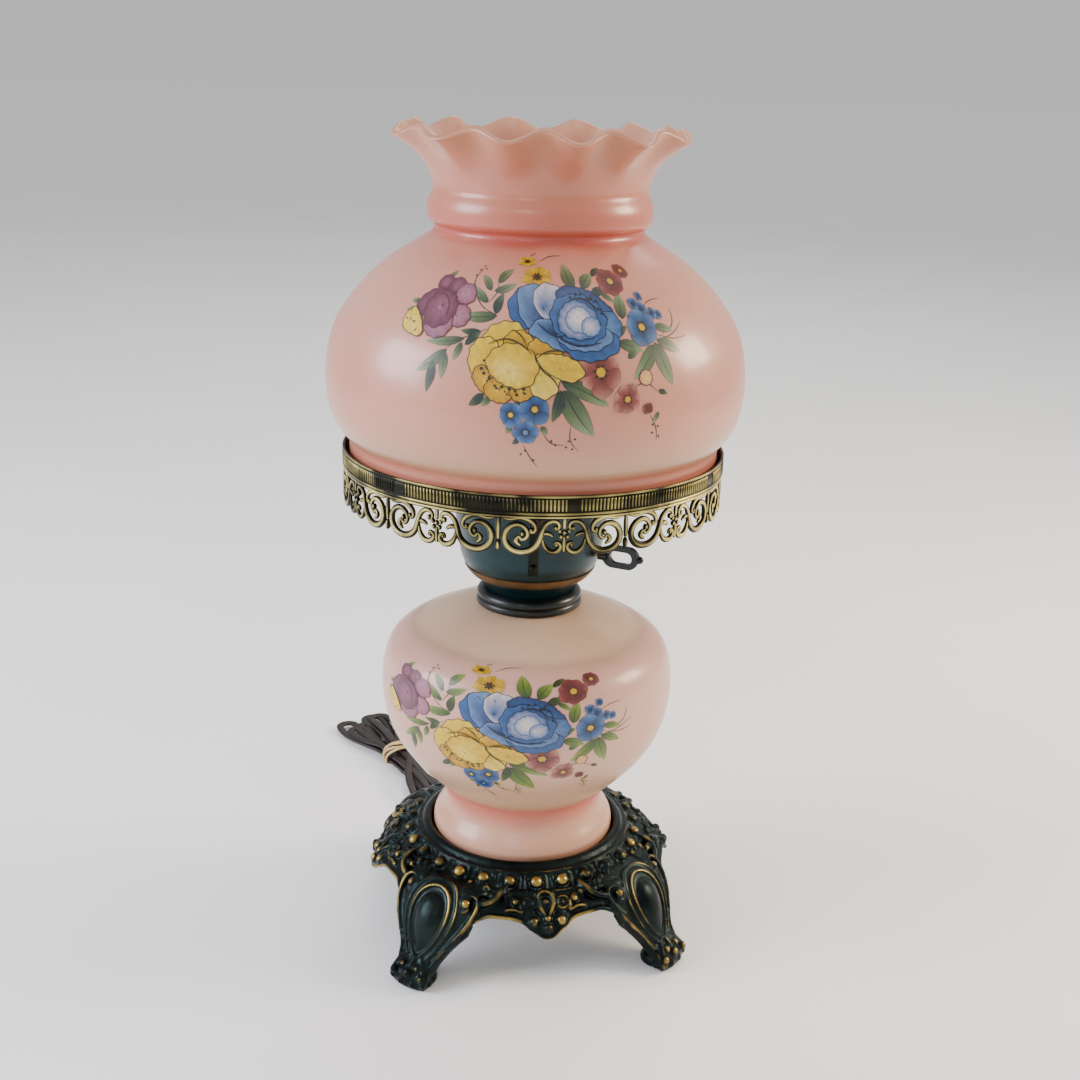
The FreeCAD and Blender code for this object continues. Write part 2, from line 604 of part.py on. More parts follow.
def make_plug():
    end, before = Vector(*TAIL_ROUTE[-1]), Vector(*TAIL_ROUTE[-2])
    along = (end - before).normalize()
    turn = math.degrees(math.atan2(along.y, along.x))

    def place(shape):
        shape.rotate(ORIGIN, UP, turn)
        shape.translate(end)
        return shape

    relief = Part.makeCone(3.4, 4.6, 12.0, ORIGIN, Vector(1, 0, 0))
    grip = Part.makeBox(17.0, 19.0, 10.0, Vector(12.0, -9.5, -CORD_Z + 0.2))
    grip = grip.makeFillet(2.4, [edge for edge in grip.Edges])
    relief = relief.common(Part.makeBox(13.0, 20, 20, Vector(0, -10, -CORD_Z + 0.2)))
    save("plug_body", place(fused([relief, grip])))
    blades = [Part.makeBox(17.5, 1.5, 6.3, Vector(29.0, side * 6.35 - 0.75, -0.85)) for side in (-1, 1)]
    save("plug_blades", place(Part.makeCompound(blades)))


make_base()
make_font()
make_bowl()
make_socket()
make_bulb()
make_holder()
make_shade()
make_cord()
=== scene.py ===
"""Looks of the electric parlour lamp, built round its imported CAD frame. Metres in Blender, helpers in mm."""
import math

import bpy
import numpy as np
from mathutils import Euler, Matrix, Vector


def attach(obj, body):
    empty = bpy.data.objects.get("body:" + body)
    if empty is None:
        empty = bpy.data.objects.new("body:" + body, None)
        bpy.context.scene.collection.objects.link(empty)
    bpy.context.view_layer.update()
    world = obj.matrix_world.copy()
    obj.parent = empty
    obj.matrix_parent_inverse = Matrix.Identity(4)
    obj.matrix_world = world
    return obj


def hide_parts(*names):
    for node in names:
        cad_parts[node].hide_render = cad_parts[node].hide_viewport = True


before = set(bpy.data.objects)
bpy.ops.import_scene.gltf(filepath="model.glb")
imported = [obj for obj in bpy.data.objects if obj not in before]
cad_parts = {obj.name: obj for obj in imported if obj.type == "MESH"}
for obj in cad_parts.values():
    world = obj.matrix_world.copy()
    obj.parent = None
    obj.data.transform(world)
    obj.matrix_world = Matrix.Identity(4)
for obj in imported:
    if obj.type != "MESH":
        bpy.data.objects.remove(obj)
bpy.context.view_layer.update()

MM = 0.001
TAU = 2 * math.pi


# ---------------------------------------------------------------- curves and meshes
def distance_along(line):
    """How far along a line each of its points is."""
    return np.concatenate([[0.0], np.cumsum(np.linalg.norm(np.diff(line, axis=0), axis=1))])


def read_off(table, run, at):
    """The columns of a table of points, read at distances along it."""
    return [np.interp(at, run, column) for column in table.T]


def unit(rows):
    """Vectors of length 1 in the same directions."""
    return rows / np.linalg.norm(rows, axis=1)[:, None]


def spun(radius, turn, height):
    """Points at a distance from the lamp's axis and an azimuth counted from the front."""
    return np.stack([radius * np.sin(turn), -radius * np.cos(turn), height], axis=-1)


def beside(turn, aside, deep, height):
    """Points deep mm out from the axis at one azimuth, moved aside mm square to it."""
    sine, cosine = math.sin(turn), math.cos(turn)
    parts = np.broadcast_arrays(deep * sine + aside * cosine, -deep * cosine + aside * sine, height)
    return np.stack(parts, axis=-1)


def smooth(points, count):
    """Evenly spaced points on the natural cubic curve through a few points."""
    p = np.array(points, float)
    t = distance_along(p)
    n, h = len(p), np.diff(t)
    system, right = np.eye(n), np.zeros_like(p)
    for i in range(1, n - 1):
        system[i, i - 1:i + 2] = h[i - 1], 2 * (h[i - 1] + h[i]), h[i]
        right[i] = 6 * ((p[i + 1] - p[i]) / h[i] - (p[i] - p[i - 1]) / h[i - 1])
    m = np.linalg.solve(system, right)
    x = np.linspace(0, t[-1], count)
    i = np.clip(np.searchsorted(t, x, side="right") - 1, 0, n - 2)
    d, e = (x - t[i])[:, None], h[i][:, None]
    cubic = (m[i] * (e - d) ** 3 + m[i + 1] * d ** 3) / (6 * e)
    return cubic + (p[i] / e - m[i] * e / 6) * (e - d) + (p[i + 1] / e - m[i + 1] * e / 6) * d


def smooth_loop(points, count):
    """Points on a smooth closed curve through a few points."""
    p = [tuple(q) for q in points]
    overlapping = p[-3:] + p + p[:4]
    wrapped = smooth(overlapping, (len(p) + 6) * 12 + 1)
    gap = np.linalg.norm(np.diff(np.array(overlapping, float), axis=0), axis=1)
    length = distance_along(wrapped)
    chord = np.cumsum(gap) / gap.sum() * length[-1]
    want = np.linspace(chord[2], chord[2 + len(p)], count, endpoint=False)
    return np.stack(read_off(wrapped, length, want), axis=1)


def linked(name, data):
    """A new object in the scene."""
    made = bpy.data.objects.new(name, data)
    bpy.context.scene.collection.objects.link(made)
    return made


def evaluated(piece):
    """A new mesh of a curve or a piece as its modifiers leave it."""
    bpy.context.view_layer.update()
    return bpy.data.meshes.new_from_object(piece.evaluated_get(bpy.context.evaluated_depsgraph_get()))


class Soup:
    """Collects faces in millimetres, with a colour for each vertex, into one mesh."""

    def __init__(self):
        self.points, self.faces, self.paint, self.size = [], [], [], 0

    def grid(self, points, around=False, closed=False, paint=None, capped=False):
        """Rows by columns of points; around joins the last column to the first, closed the last row to the
        first, and capped fills the first and last rows."""
        rows, cols = points.shape[:2]
        index = np.arange(rows * cols).reshape(rows, cols) + self.size
        if around:
            index = np.concatenate([index, index[:, :1]], axis=1)
        if closed:
            index = np.concatenate([index, index[:1]], axis=0)
        quads = np.stack([index[:-1, :-1], index[:-1, 1:], index[1:, 1:], index[1:, :-1]], axis=-1)
        self.add(points.reshape(-1, 3), quads.reshape(-1, 4).tolist(), paint)
        if capped:
            self.cap(index[0, :-1])
            self.cap(index[-1, :-1][::-1])
        return index

    def add(self, points, faces, paint=None):
        self.points.append(points)
        self.faces.extend(faces)
        colour = np.ones((len(points), 4))
        if paint is not None:
            colour[:, :3] = np.asarray(paint, float).reshape(-1, 3)
        self.paint.append(colour)
        self.size += len(points)

    def cap(self, ring):
        self.faces.append([int(k) for k in ring])

    def build(self, name):
        mesh = bpy.data.meshes.new(name)
        mesh.from_pydata((np.concatenate(self.points) * MM).tolist(), [], self.faces)
        mesh.validate()
        attribute = mesh.color_attributes.new("paint", "FLOAT_COLOR", "POINT")
        attribute.data.foreach_set("color", np.concatenate(self.paint).astype(np.float32).ravel())
        mesh.polygons.foreach_set("use_smooth", [True] * len(mesh.polygons))
        return linked(name, mesh)

    def lathe(self, outline, segments, warp=None):
        """Closed outline of (radius, z) turned about Z; warp may move each (radius, z, azimuth)."""
        r, z = np.array(outline, float).T
        radius, turn = np.meshgrid(r, np.arange(segments) / segments * TAU, indexing="ij")
        height = np.repeat(z[:, None], segments, axis=1)
        if warp:
            radius, height = warp(radius, height, turn)
        self.grid(spun(radius, turn, height), around=True, closed=True)

    def tube(self, path, radii, sides=10, flat=1.0, out=None):
        """Round or flattened tube with closed ends along a path of 3-D points."""
        path, radii = np.array(path, float), np.broadcast_to(radii, (len(path),))
        along = unit(np.gradient(path, axis=0))
        side = np.cross(along, out if out is not None else np.array([0.0, 0.0, 1.0]))
        for k in range(len(side)):
            if np.linalg.norm(side[k]) < 0.2:
                side[k] = side[k - 1] if k else np.cross(along[k], [1.0, 0.0, 0.0])
        side = unit(side)
        lift = np.cross(side, along)
        turn = np.arange(sides) / sides * TAU
        sideways, upwards = np.cos(turn)[None, :, None], flat * np.sin(turn)[None, :, None]
        ring = sideways * side[:, None] + upwards * lift[:, None]
        self.grid(path[:, None] + radii[:, None, None] * ring, around=True, capped=True)

    def ball(self, centre, radius, squash=(1, 1, 1), rings=8, sides=14):
        polar = np.linspace(0.0, math.pi, rings + 1)[1:-1]
        turn = np.arange(sides) / sides * TAU
        shape = np.stack([np.outer(np.sin(polar), np.cos(turn)), np.outer(np.sin(polar), np.sin(turn)),
                          np.outer(np.cos(polar), np.ones(sides))], axis=-1)
        index = self.grid(np.array(centre) + radius * shape * np.array(squash), around=True)
        self.cap(index[0, :-1][::-1])
        self.cap(index[-1, :-1])


def offset(outline, wall):
    """An open curve of (radius, z) moved to its left-hand side."""
    line = np.array(outline, float)
    step = unit(np.gradient(line, axis=0))
    return line + wall * np.stack([-step[:, 1], step[:, 0]], axis=1)


def place(piece, body, slot, material, *nodes):
    """Finish a new piece: its material, the body it rides on and the CAD nodes it stands for."""
    piece.data.materials.clear()
    piece.data.materials.append(material)
    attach(piece, body)
    if nodes:
        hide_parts(*nodes)
    return piece


# ---------------------------------------------------------------- materials
def tint(red, green, blue):
    """Linear colour from display values out of 255."""
    return tuple(((c / 255 + 0.055) / 1.055) ** 2.4 if c > 10 else c / 3294 for c in (red, green, blue))


class Finish:
    """A node material under construction."""

    def __init__(self, name, metallic=0.0, roughness=0.5, **sockets):
        self.material = bpy.data.materials.new(name)
        self.material.use_nodes = True
        self.tree = self.material.node_tree
        self.shader = self.tree.nodes["Principled BSDF"]
        self.shader.inputs["Metallic"].default_value = metallic
        self.shader.inputs["Roughness"].default_value = roughness
        for socket, value in sockets.items():
            self.shader.inputs[socket.replace("_", " ")].default_value = value
        self.place = self.tree.nodes.new("ShaderNodeTexCoord").outputs["Object"]

    def node(self, kind, links=(), **values):
        made = self.tree.nodes.new(kind)
        for key, value in values.items():
            setattr(made, key, value)
        for socket, source in dict(links).items():
            if isinstance(source, bpy.types.NodeSocket):
                self.tree.links.new(source, made.inputs[socket])
            else:
                made.inputs[socket].default_value = source
        return made

    def noise(self, scale, detail=3.0, rough=0.55, stretch=(1, 1, 1)):
        where = self.node("ShaderNodeMapping", {"Vector": self.place, "Scale": stretch}).outputs[0]
        links = {"Vector": where, "Scale": scale, "Detail": detail, "Roughness": rough}
        return self.node("ShaderNodeTexNoise", links).outputs[0]

    def ramp(self, factor, stops, colour=True):
        made = self.node("ShaderNodeValToRGB", {"Fac": factor})
        ramp = made.color_ramp
        while len(ramp.elements) < len(stops):
            ramp.elements.new(0.5)
        for element, (where, value) in zip(ramp.elements, stops):
            element.position = where
            element.color = (*value, 1.0) if colour else (value, value, value, 1.0)
        return made.outputs[0]

    def mix(self, factor, first, second, blend="MIX"):
        made = self.node("ShaderNodeMix", data_type="RGBA", blend_type=blend)
        for socket, source in zip((made.inputs[0], made.inputs[6], made.inputs[7]), (factor, first, second)):
            if isinstance(source, bpy.types.NodeSocket):
                self.tree.links.new(source, socket)
            else:
                socket.default_value = source if isinstance(source, float) else (*source, 1.0)
        return made.outputs[2]

    def height(self, low, high):
        """0 at one height and 1 at another, in metres."""
        z = self.node("ShaderNodeSeparateXYZ", {"Vector": self.place}).outputs[2]
        return self.node("ShaderNodeMapRange", {"Value": z, "From Min": low, "From Max": high}).outputs[0]

    def attribute(self, name):
        return self.node("ShaderNodeAttribute", attribute_name=name)

    def use(self, colour=None, roughness=None, bump=None, strength=0.3, distance=0.0004):
        if colour is not None:
            self.tree.links.new(colour, self.shader.inputs["Base Color"])
        if roughness is not None:
            self.tree.links.new(roughness, self.shader.inputs["Roughness"])
        if bump is not None:
            links = {"Height": bump, "Strength": strength, "Distance": distance}
            self.tree.links.new(self.node("ShaderNodeBump", links).outputs[0], self.shader.inputs["Normal"])
        return self.material


def worn(name, dark, light, scale, metallic=1.0, roughness=(0.3, 0.5), bump_scale=900.0, strength=0.15,
         **sockets):
    """Colour wandering between two tones, with roughness and bump to match."""
    finish = Finish(name, metallic, **sockets)
    cloud = finish.noise(scale)
    colour = finish.ramp(cloud, [(0.35, dark), (0.65, light)])
    rough = finish.ramp(finish.noise(scale * 2.3), [(0.3, roughness[0]), (0.7, roughness[1])], colour=False)
    return finish.use(colour, rough, finish.noise(bump_scale, 2.0), strength, 0.0002)


def banded_glass(name, low, high, stops, rough):
    """Satin opal glass, tinted in bands by height, with a mottled hand-sprayed look."""
    finish = Finish(name, 0.0, 0.4, Coat_Weight=0.35, Coat_Roughness=0.16, Subsurface_Weight=0.12)
    finish.shader.inputs["Subsurface Radius"].default_value = (0.004, 0.002, 0.0015)
    wander = finish.noise(26.0, 2.0)
    level = finish.height(low, high)
    sprayed = {0: wander, 1: 0.03, 2: -0.015}
    shift = finish.node("ShaderNodeMath", sprayed, operation="MULTIPLY_ADD").outputs[0]
    moved = finish.node("ShaderNodeMath", {0: level, 1: shift}, operation="ADD").outputs[0]
    colour = finish.ramp(moved, stops)
    cloudy = finish.mix(finish.ramp(finish.noise(9.0, 2.0), [(0.35, 0.0), (0.7, 0.4)], colour=False),
                        colour, tint(238, 208, 190), "MULTIPLY")
    speck = finish.ramp(finish.noise(520.0, 3.0), [(0.3, rough - 0.05), (0.7, rough + 0.08)], colour=False)
    return finish.use(cloudy, speck, finish.noise(70.0, 3.0), 0.05, 0.0006)


def paint_finish():
    """Ceramic transfer colours, taken from the brushwork's own vertex colours."""
    finish = Finish("flower_paint", 0.0, 0.42, Coat_Weight=0.25, Coat_Roughness=0.2)
    brushed = finish.attribute("paint").outputs["Color"]
    wash = finish.ramp(finish.noise(420.0, 4.0, 0.7), [(0.3, (0.72, 0.72, 0.74)), (0.62, (1.0, 1.0, 1.0))])
    colour = finish.mix(0.75, brushed, wash, "MULTIPLY")
    return finish.use(colour, finish.ramp(finish.noise(600.0), [(0.3, 0.36), (0.7, 0.5)], colour=False))


def cast_finish(name, deep, mid, rubbed_and_lit_brass, sharp):
    """Dark patina in the hollows, brass where the casting's ridges are rubbed; the stored rub values also
    carry painted highlights on the filigree and painted shade at the base ring's inner rim.
    """
    finish = Finish(name, 0.85, 0.4)
    ground = finish.ramp(finish.noise(48.0, 4.0), [(0.35, deep), (0.7, mid)])
    # The rub values mix real wear with painted highlights on the filigree and painted shade on the base ring's
    # inner rim.
    wear = finish.attribute("rub_and_painted_light").outputs["Fac"]
    patchy = finish.ramp(finish.noise(30.0, 3.0), [(0.34, 0.2), (0.68, 1.25)], colour=False)
    rub_and_painted_light = finish.node("ShaderNodeMath", {0: wear, 1: patchy}, operation="MULTIPLY").outputs[0]
    share = finish.ramp(rub_and_painted_light, [(sharp, 0.0), (sharp + 0.16, 0.35), (sharp + 0.5, 1.0)], colour=False)
    colour = finish.mix(share, ground, rubbed_and_lit_brass)
    rough = finish.ramp(finish.noise(160.0, 4.0), [(0.3, 0.28), (0.7, 0.46)], colour=False)
    return finish.use(colour, rough, finish.noise(420.0, 4.0), 0.22, 0.0003)


PATINA = cast_finish("green_black_patina", tint(9, 17, 18), tint(28, 40, 38), tint(170, 144, 72), 0.38)
GILT = cast_finish("antique_gilt_brass", tint(12, 14, 9), tint(38, 36, 22), tint(232, 214, 132), 0.20)
SHADE_GLASS = banded_glass("pink_satin_shade", 0.2768, 0.451, [
    (0.0, tint(201, 126, 102)), (0.075, tint(190, 115, 91)), (0.10, tint(182, 140, 107)),
    (0.15, tint(194, 144, 115)), (0.25, tint(203, 138, 116)), (0.5, tint(205, 149, 131)),
    # The deep rose stop at 0.705 lies in the neck groove: deeper glass colour there, with painted shade in the
    # groove.
    (0.62, tint(204, 142, 122)), (0.68, tint(200, 128, 108)), (0.705, tint(180, 76, 62)),
    (0.73, tint(190, 100, 80)), (0.8, tint(194, 120, 96)), (0.9, tint(190, 120, 95)),
    (1.0, tint(192, 135, 104))], 0.36)
FONT_GLASS = banded_glass("pink_satin_font", 0.055, 0.1945, [
    (0.0, tint(198, 146, 118)), (0.13, tint(205, 157, 131)), (0.17, tint(198, 120, 95)),
    (0.22, tint(201, 111, 91)), (0.27, tint(184, 153, 118)), (0.42, tint(201, 162, 133)),
    (0.62, tint(209, 160, 142)), (0.88, tint(209, 162, 146)), (0.905, tint(188, 155, 129)),
    (0.925, tint(209, 178, 149)), (1.0, tint(207, 177, 147))], 0.42)
FLOWER_PAINT = paint_finish()
BLACK_LACQUER = worn("black_teal_lacquer", tint(3, 6, 7), tint(10, 17, 18), 30.0, 0.3, (0.3, 0.44),
                     Coat_Weight=0.15, Coat_Roughness=0.2)
TEAL_LACQUER = worn("teal_lacquer", tint(5, 26, 30), tint(14, 48, 52), 26.0, 0.6, (0.3, 0.42),
                    Coat_Weight=0.12, Coat_Roughness=0.2)
BRONZE = worn("bronze_stripe", tint(88, 64, 38), tint(122, 92, 56), 60.0, 0.7, (0.34, 0.5))
STEEL = worn("zinc_steel", tint(150, 150, 150), tint(188, 188, 190), 60.0, 1.0, (0.28, 0.45))
BRASS = worn("drawn_brass", tint(176, 142, 72), tint(212, 178, 102), 50.0, 1.0, (0.2, 0.36))
ALUMINIUM = worn("aluminium", tint(190, 190, 188), tint(222, 222, 222), 80.0, 1.0, (0.25, 0.4))
PHENOLIC = worn("phenolic", tint(26, 20, 18), tint(44, 34, 28), 90.0, 0.0, (0.3, 0.5))
CARD = worn("card_sleeve", tint(146, 122, 88), tint(176, 150, 112), 200.0, 0.0, (0.8, 0.95), 1500.0, 0.3)
FELT = worn("felt", tint(40, 50, 40), tint(62, 74, 58), 400.0, 0.0, (0.9, 1.0), 2600.0, 0.6)
OPAL = worn("frosted_bulb", tint(236, 234, 226), tint(246, 245, 240), 30.0, 0.0, (0.3, 0.42), 500.0, 0.04)
CORD_VINYL = worn("brown_vinyl", tint(14, 6, 6), tint(32, 13, 12), 70.0, 0.0, (0.42, 0.56), 700.0, 0.12)
TIE_RUBBER = worn("tan_rubber", tint(184, 150, 98), tint(218, 190, 140), 240.0, 0.0, (0.5, 0.7), 900.0, 0.4)
FLOOR = worn("pale_floor", tint(246, 246, 246), tint(250, 250, 250), 4.0, 0.0, (0.85, 0.95), 300.0, 0.02,
             Emission_Color=(1, 1, 1, 1), Emission_Strength=0.05)


# ---------------------------------------------------------------- camera, stage and lights
FLOOR_RINGS = [0.001, 0.4, 1.0, 3.0, 9.0, 30.0]
LAMP_MIDDLE = Vector((0, 0, 0.22))


def studio():
    camera = linked("camera", bpy.data.cameras.new("camera"))
    camera.data.lens = 48.33
    heading, dip, roll = math.radians(-10.89), math.radians(72.01), 0.0315
    turn = Euler((dip, 0, heading)).to_matrix() @ Matrix.Rotation(roll, 3, "Z")
    camera.matrix_world = Matrix.Translation((-0.1394, -0.7522, 0.4785)) @ turn.to_4x4()
    bpy.context.scene.camera = camera

    floor = Soup()
    ring = np.array(FLOOR_RINGS) / MM
    angle = np.arange(64) / 64 * TAU
    x, y = np.outer(ring, np.cos(angle)), np.outer(ring, np.sin(angle))
    floor.grid(np.stack([x, y, np.zeros_like(x)], axis=-1), around=True)
    floor = floor.build("floor")
    floor.data.materials.append(FLOOR)

    world = bpy.data.worlds.new("studio")
    world.use_nodes = True
    sky = world.node_tree.nodes["Background"].inputs
    sky["Color"].default_value = (1.0, 1.0, 1.0, 1.0)
    sky["Strength"].default_value = 0.62
    bpy.context.scene.world = world
    for name, spot, size, power, colour in (
            ("left_window", (-1.5, -0.1, 0.8), 0.8, 32.0, (0.86, 0.88, 1.0)),
            ("right_lamp", (1.3, -0.1, 0.8), 0.5, 22.0, (1.0, 0.84, 0.62)),
            ("front", (-0.7, -1.5, 1.1), 0.4, 3.0, (1.0, 0.98, 0.95)),
            ("top", (0.1, 0.2, 1.9), 1.2, 8.0, (1.0, 1.0, 1.0)),
            ("back", (0.8, 1.8, 2.3), 1.4, 22.0, (1.0, 0.97, 0.92))):
        lamp = linked(name, bpy.data.lights.new(name, "AREA"))
        lamp.data.size, lamp.data.energy, lamp.data.color = size, power, colour
        lamp.location = spot
        lamp.rotation_euler = (LAMP_MIDDLE - Vector(spot)).to_track_quat("-Z", "Y").to_euler()


# ---------------------------------------------------------------- cord
CORD_WIDTH, CORD_THICK = 5.4, 2.7
TIE_POINT, HANK_FAR, HANK_NEAR = (-57.1, 191.6), (-85.3, 264.0), (-32.9, 101.5)
LEAD = [(0, 0, 35.0), (0.5, 1.0, 26.0), (0.5, 5.5, 15.5), (-0.5, 14.5, 7.0), (-3.0, 27.0, 3.2),
        (-9.0, 43.0, 2.8), (-13.5, 60.0, 2.8), (-13.5, 77.0, 2.8), (-19.5, 91.5, 2.8), (-28.5, 104.0, 2.8)]
INTO_HANK = [(-29.5, 108.0, 2.9), (-36.0, 122.0, 3.0), (-43.0, 148.0, 3.0)]
OUT_OF_HANK = [(-46.5, 160.0, 5.0), (-37.5, 142.0, 3.2), (-30.0, 133.0, 2.8)]
TAIL = [(-29.5, 132.0, 2.8), (-18.5, 127.0, 2.8), (-6.0, 124.5, 2.8), (6.5, 127.0, 2.8), (16.5, 135.0, 2.8),
        (21.5, 147.0, 2.8)]
# each loop of the hank: its reach past the tie, how far its two legs lean, and where they cross the tie
FAR_LOOPS = [(75, 2, 16, -3, 3), (71, -19, -6, -6, -2), (63, -8, 5, -5, 1), (73, 7, 20, 2, 6),
             (59, -15, -2, -4, 0)]
# the near loops lie between them: reach back from the tie, and the lean of their two legs
NEAR_LOOPS = [(84, -10, 2), (76, 0, 12), (88, -5, 7), (80, -13, -1)]
LAYERS = [3.0, 3.0, 6.0, 6.0, 9.0, 9.0, 11.8, 11.8, 9.0, 6.2]
LYING = 2.9


def round_end(reach, first, last):
    """Control points of a round end between a loop's two legs."""
    corner = 0.293 * (last - first)
    shoulder = reach - abs(corner)
    return [(shoulder, first), (reach, first + corner), (reach, last - corner), (shoulder, last)]


def hank_points():
    """Control points of the hank's ten runs, out from the base end and back five times."""
    axis = np.array(HANK_FAR) - np.array(HANK_NEAR)
    axis /= np.linalg.norm(axis)
    across = np.array([axis[1], -axis[0]])
    points = []

    def put(along, side, z):
        spot = np.array(TIE_POINT) + along * axis + side * across
        points.append((spot[0], spot[1], z))

    for loop, (reach, first, last, tie_in, tie_out) in enumerate(FAR_LOOPS):
        z_in, z_out = LAYERS[2 * loop], LAYERS[2 * loop + 1]
        fan_in, fan_out = max(LYING, z_in * 0.8), max(LYING, z_out * 0.8)
        put(-10, tie_in, z_in)
        put(12, tie_in, z_in)
        put(reach * 0.45, 0.62 * first + 0.38 * tie_in, fan_in)
        put(reach * 0.72, first, max(LYING, fan_in * 0.7))
        for along, side in round_end(reach, first, last):
            put(along, side, LYING + 0.1 * z_in)
        put(reach * 0.72, last, max(LYING, fan_out * 0.7))
        put(reach * 0.45, 0.62 * last + 0.38 * tie_out, fan_out)
        put(12, tie_out, z_out)
        put(-10, tie_out, z_out)
        if loop < len(NEAR_LOOPS):
            back, left, right = NEAR_LOOPS[loop]
            low = max(LYING, 0.55 * z_out)
            put(-0.45 * back, 0.6 * left, fan_out)
            put(-0.75 * back, left, low)
            for along, side in round_end(back, left, right):
                put(-along, side, low)
            put(-0.75 * back, right, low)
            put(-0.45 * back, 0.6 * right, fan_out)
    return points


def centreline(name, points):
    """Read back the smooth line of one NURBS spline through control points in mm."""
    curve = bpy.data.curves.new(name, "CURVE")
    curve.dimensions = "3D"
    spline = curve.splines.new("NURBS")
    spline.points.add(len(points) - 1)
    for knot, spot in zip(spline.points, points):
        knot.co = (*[c * MM for c in spot], 1.0)
    spline.order_u = 3
    spline.use_endpoint_u = True
    curve.resolution_u = 8
    holder = linked(name, curve)
    mesh = evaluated(holder)
    line = np.array([v.co for v in mesh.vertices], float)
    bpy.data.objects.remove(holder)
    bpy.data.meshes.remove(mesh)
    return line


def twin_section(count=16):
    """Outline of flat two-core cord: two round cores with a groove between them."""
    turn = np.arange(count) / count * TAU
    wide, thick = CORD_WIDTH / 2, CORD_THICK / 2
    waist = 1.0 - 0.30 * np.exp(-(np.cos(turn) / 0.28) ** 2)
    side = np.sign(np.cos(turn)) * np.abs(np.cos(turn)) ** 0.8
    lift = np.sign(np.sin(turn)) * np.abs(np.sin(turn)) ** 0.7
    return np.stack([wide * side, thick * waist * lift], axis=1)


def make_cord():
    route = LEAD[:-1] + INTO_HANK + hank_points() + OUT_OF_HANK + TAIL[1:]
    line = centreline("cord_line", route) / MM
    along = unit(np.gradient(line, axis=0))
    side = np.zeros_like(line)
    side[0] = np.cross(along[0], (0.0, 1.0, 0.0))
    for k in range(1, len(line)):
        carried = side[k - 1] - along[k] * (side[k - 1] @ along[k])
        level = np.cross(along[k], (0.0, 0.0, 1.0))
        if level @ carried < 0:
            level = -level
        side[k] = carried / max(np.linalg.norm(carried), 1e-6) + 0.10 * level
        side[k] /= np.linalg.norm(side[k])
    lift = np.cross(side, along)
    section = twin_section()
    points = line[:, None] + section[None, :, :1] * side[:, None] + section[None, :, 1:] * lift[:, None]
    soup = Soup()
    soup.grid(points, around=True, capped=True)
    cord = soup.build("lamp_cord")
    place(cord, "lamp", "cord_vinyl", CORD_VINYL, "cord_lead", "cord_hank", "cord_tail")
    tie = make_tie()


def make_tie():
    """Rubber band wound four times round the hank, its turns crossing."""
    axis = np.array(HANK_FAR) - np.array(HANK_NEAR)
    axis = np.array([*(axis / np.linalg.norm(axis)), 0.0])
    across = np.array([axis[1], -axis[0], 0.0])
    turn = np.linspace(0, 4 * TAU, 180)
    wide, tall, middle = 9.9, 6.7, 7.9
    side = np.sign(np.cos(turn)) * np.abs(np.cos(turn)) ** 0.8 * wide
    up = middle + np.sign(np.sin(turn)) * np.abs(np.sin(turn)) ** 0.85 * tall
    drift = -4.2 + 8.4 * (turn / turn[-1]) + 2.6 * np.cos(turn + 0.6 + 0.24 * turn)
    swell = 1.0 + 0.05 * np.sin(turn * 0.37)
    path = np.array([*TIE_POINT, 0.0]) + drift[:, None] * axis + (side * swell)[:, None] * across
    path[:, 2] += np.maximum(up, 0.7)
    soup = Soup()
    out = path - (np.array([*TIE_POINT, middle]) + drift[:, None] * axis)
    soup.tube(path, 1.35, sides=8, flat=0.42, out=out)
    return place(soup.build("rubber_tie"), "lamp", "tie_tan", TIE_RUBBER, "hank_tie")


# ---------------------------------------------------------------- glass
SHADE_FITTER = [(99.0, 276.8), (99.0, 290.0)]
SHADE_BODY = [(99.0, 290.5), (104.3, 296.5), (108.8, 305.0), (110.9, 316.0), (111.2, 326.0), (109.8, 338.0),
              (106.4, 350.0), (100.0, 361.0), (91.0, 372.0), (79.0, 383.0), (66.0, 391.5), (57.6, 396.6)]
SHADE_NECK = [(57.6, 396.6), (55.2, 398.6), (54.6, 400.8), (56.9, 403.2), (58.3, 407.5), (58.2, 413.0),
              (56.8, 416.6), (55.7, 419.0), (56.4, 424.0), (59.4, 431.0), (65.2, 439.5), (71.6, 446.0),
              (75.6, 449.2)]
FONT_LOW = [(51.0, 55.0), (52.0, 59.0), (51.0, 65.5), (47.6, 71.0), (45.6, 76.0), (45.3, 80.5), (46.2, 85.5)]
FONT_BULB = [(46.2, 85.5), (54.0, 93.0), (64.0, 103.5), (73.0, 115.5), (79.3, 130.0), (81.9, 146.0),
             (80.9, 161.0), (76.6, 172.5), (66.0, 180.8)]
FONT_CROWN = [(66.0, 180.8), (56.0, 185.4), (44.0, 190.2), (30.0, 193.9), (22.5, 194.5)]
SHADE_WALL, FONT_WALL = 3.0, 3.6
RUFFLES, RUFFLE_AT, RUFFLE_DEPTH = 13, math.radians(-10.5), 2.9
CRIMP_FROM, CRIMP_HEIGHT = 425.0, 26.0


def crimp(radius, height, turn):
    """Push the rim up and in, then down and out, round the mouth."""
    share = np.clip((height - CRIMP_FROM) / CRIMP_HEIGHT, 0.0, 1.0) ** 1.6
    wave = np.cos(RUFFLES * (turn - RUFFLE_AT) + 0.35 * np.sin(3 * turn))
    lean = np.sin(RUFFLES * (turn - RUFFLE_AT))
    swing = 1.0 + 0.12 * np.sin(2 * turn + 1.0)
    radius = radius + share * swing * (-RUFFLE_DEPTH * wave + 0.6 * lean)
    return radius, height + share * swing * RUFFLE_DEPTH * wave - share * 1.6


def shell(outer, wall, rim, base=None):
    """Closed outline of a glass wall from its outer line; base is the foot's inner corner."""
    inner = offset(outer, wall)
    inner[0] = base or (outer[0][0] - wall, outer[0][1])
    return np.concatenate([outer, rim, inner[::-1]])


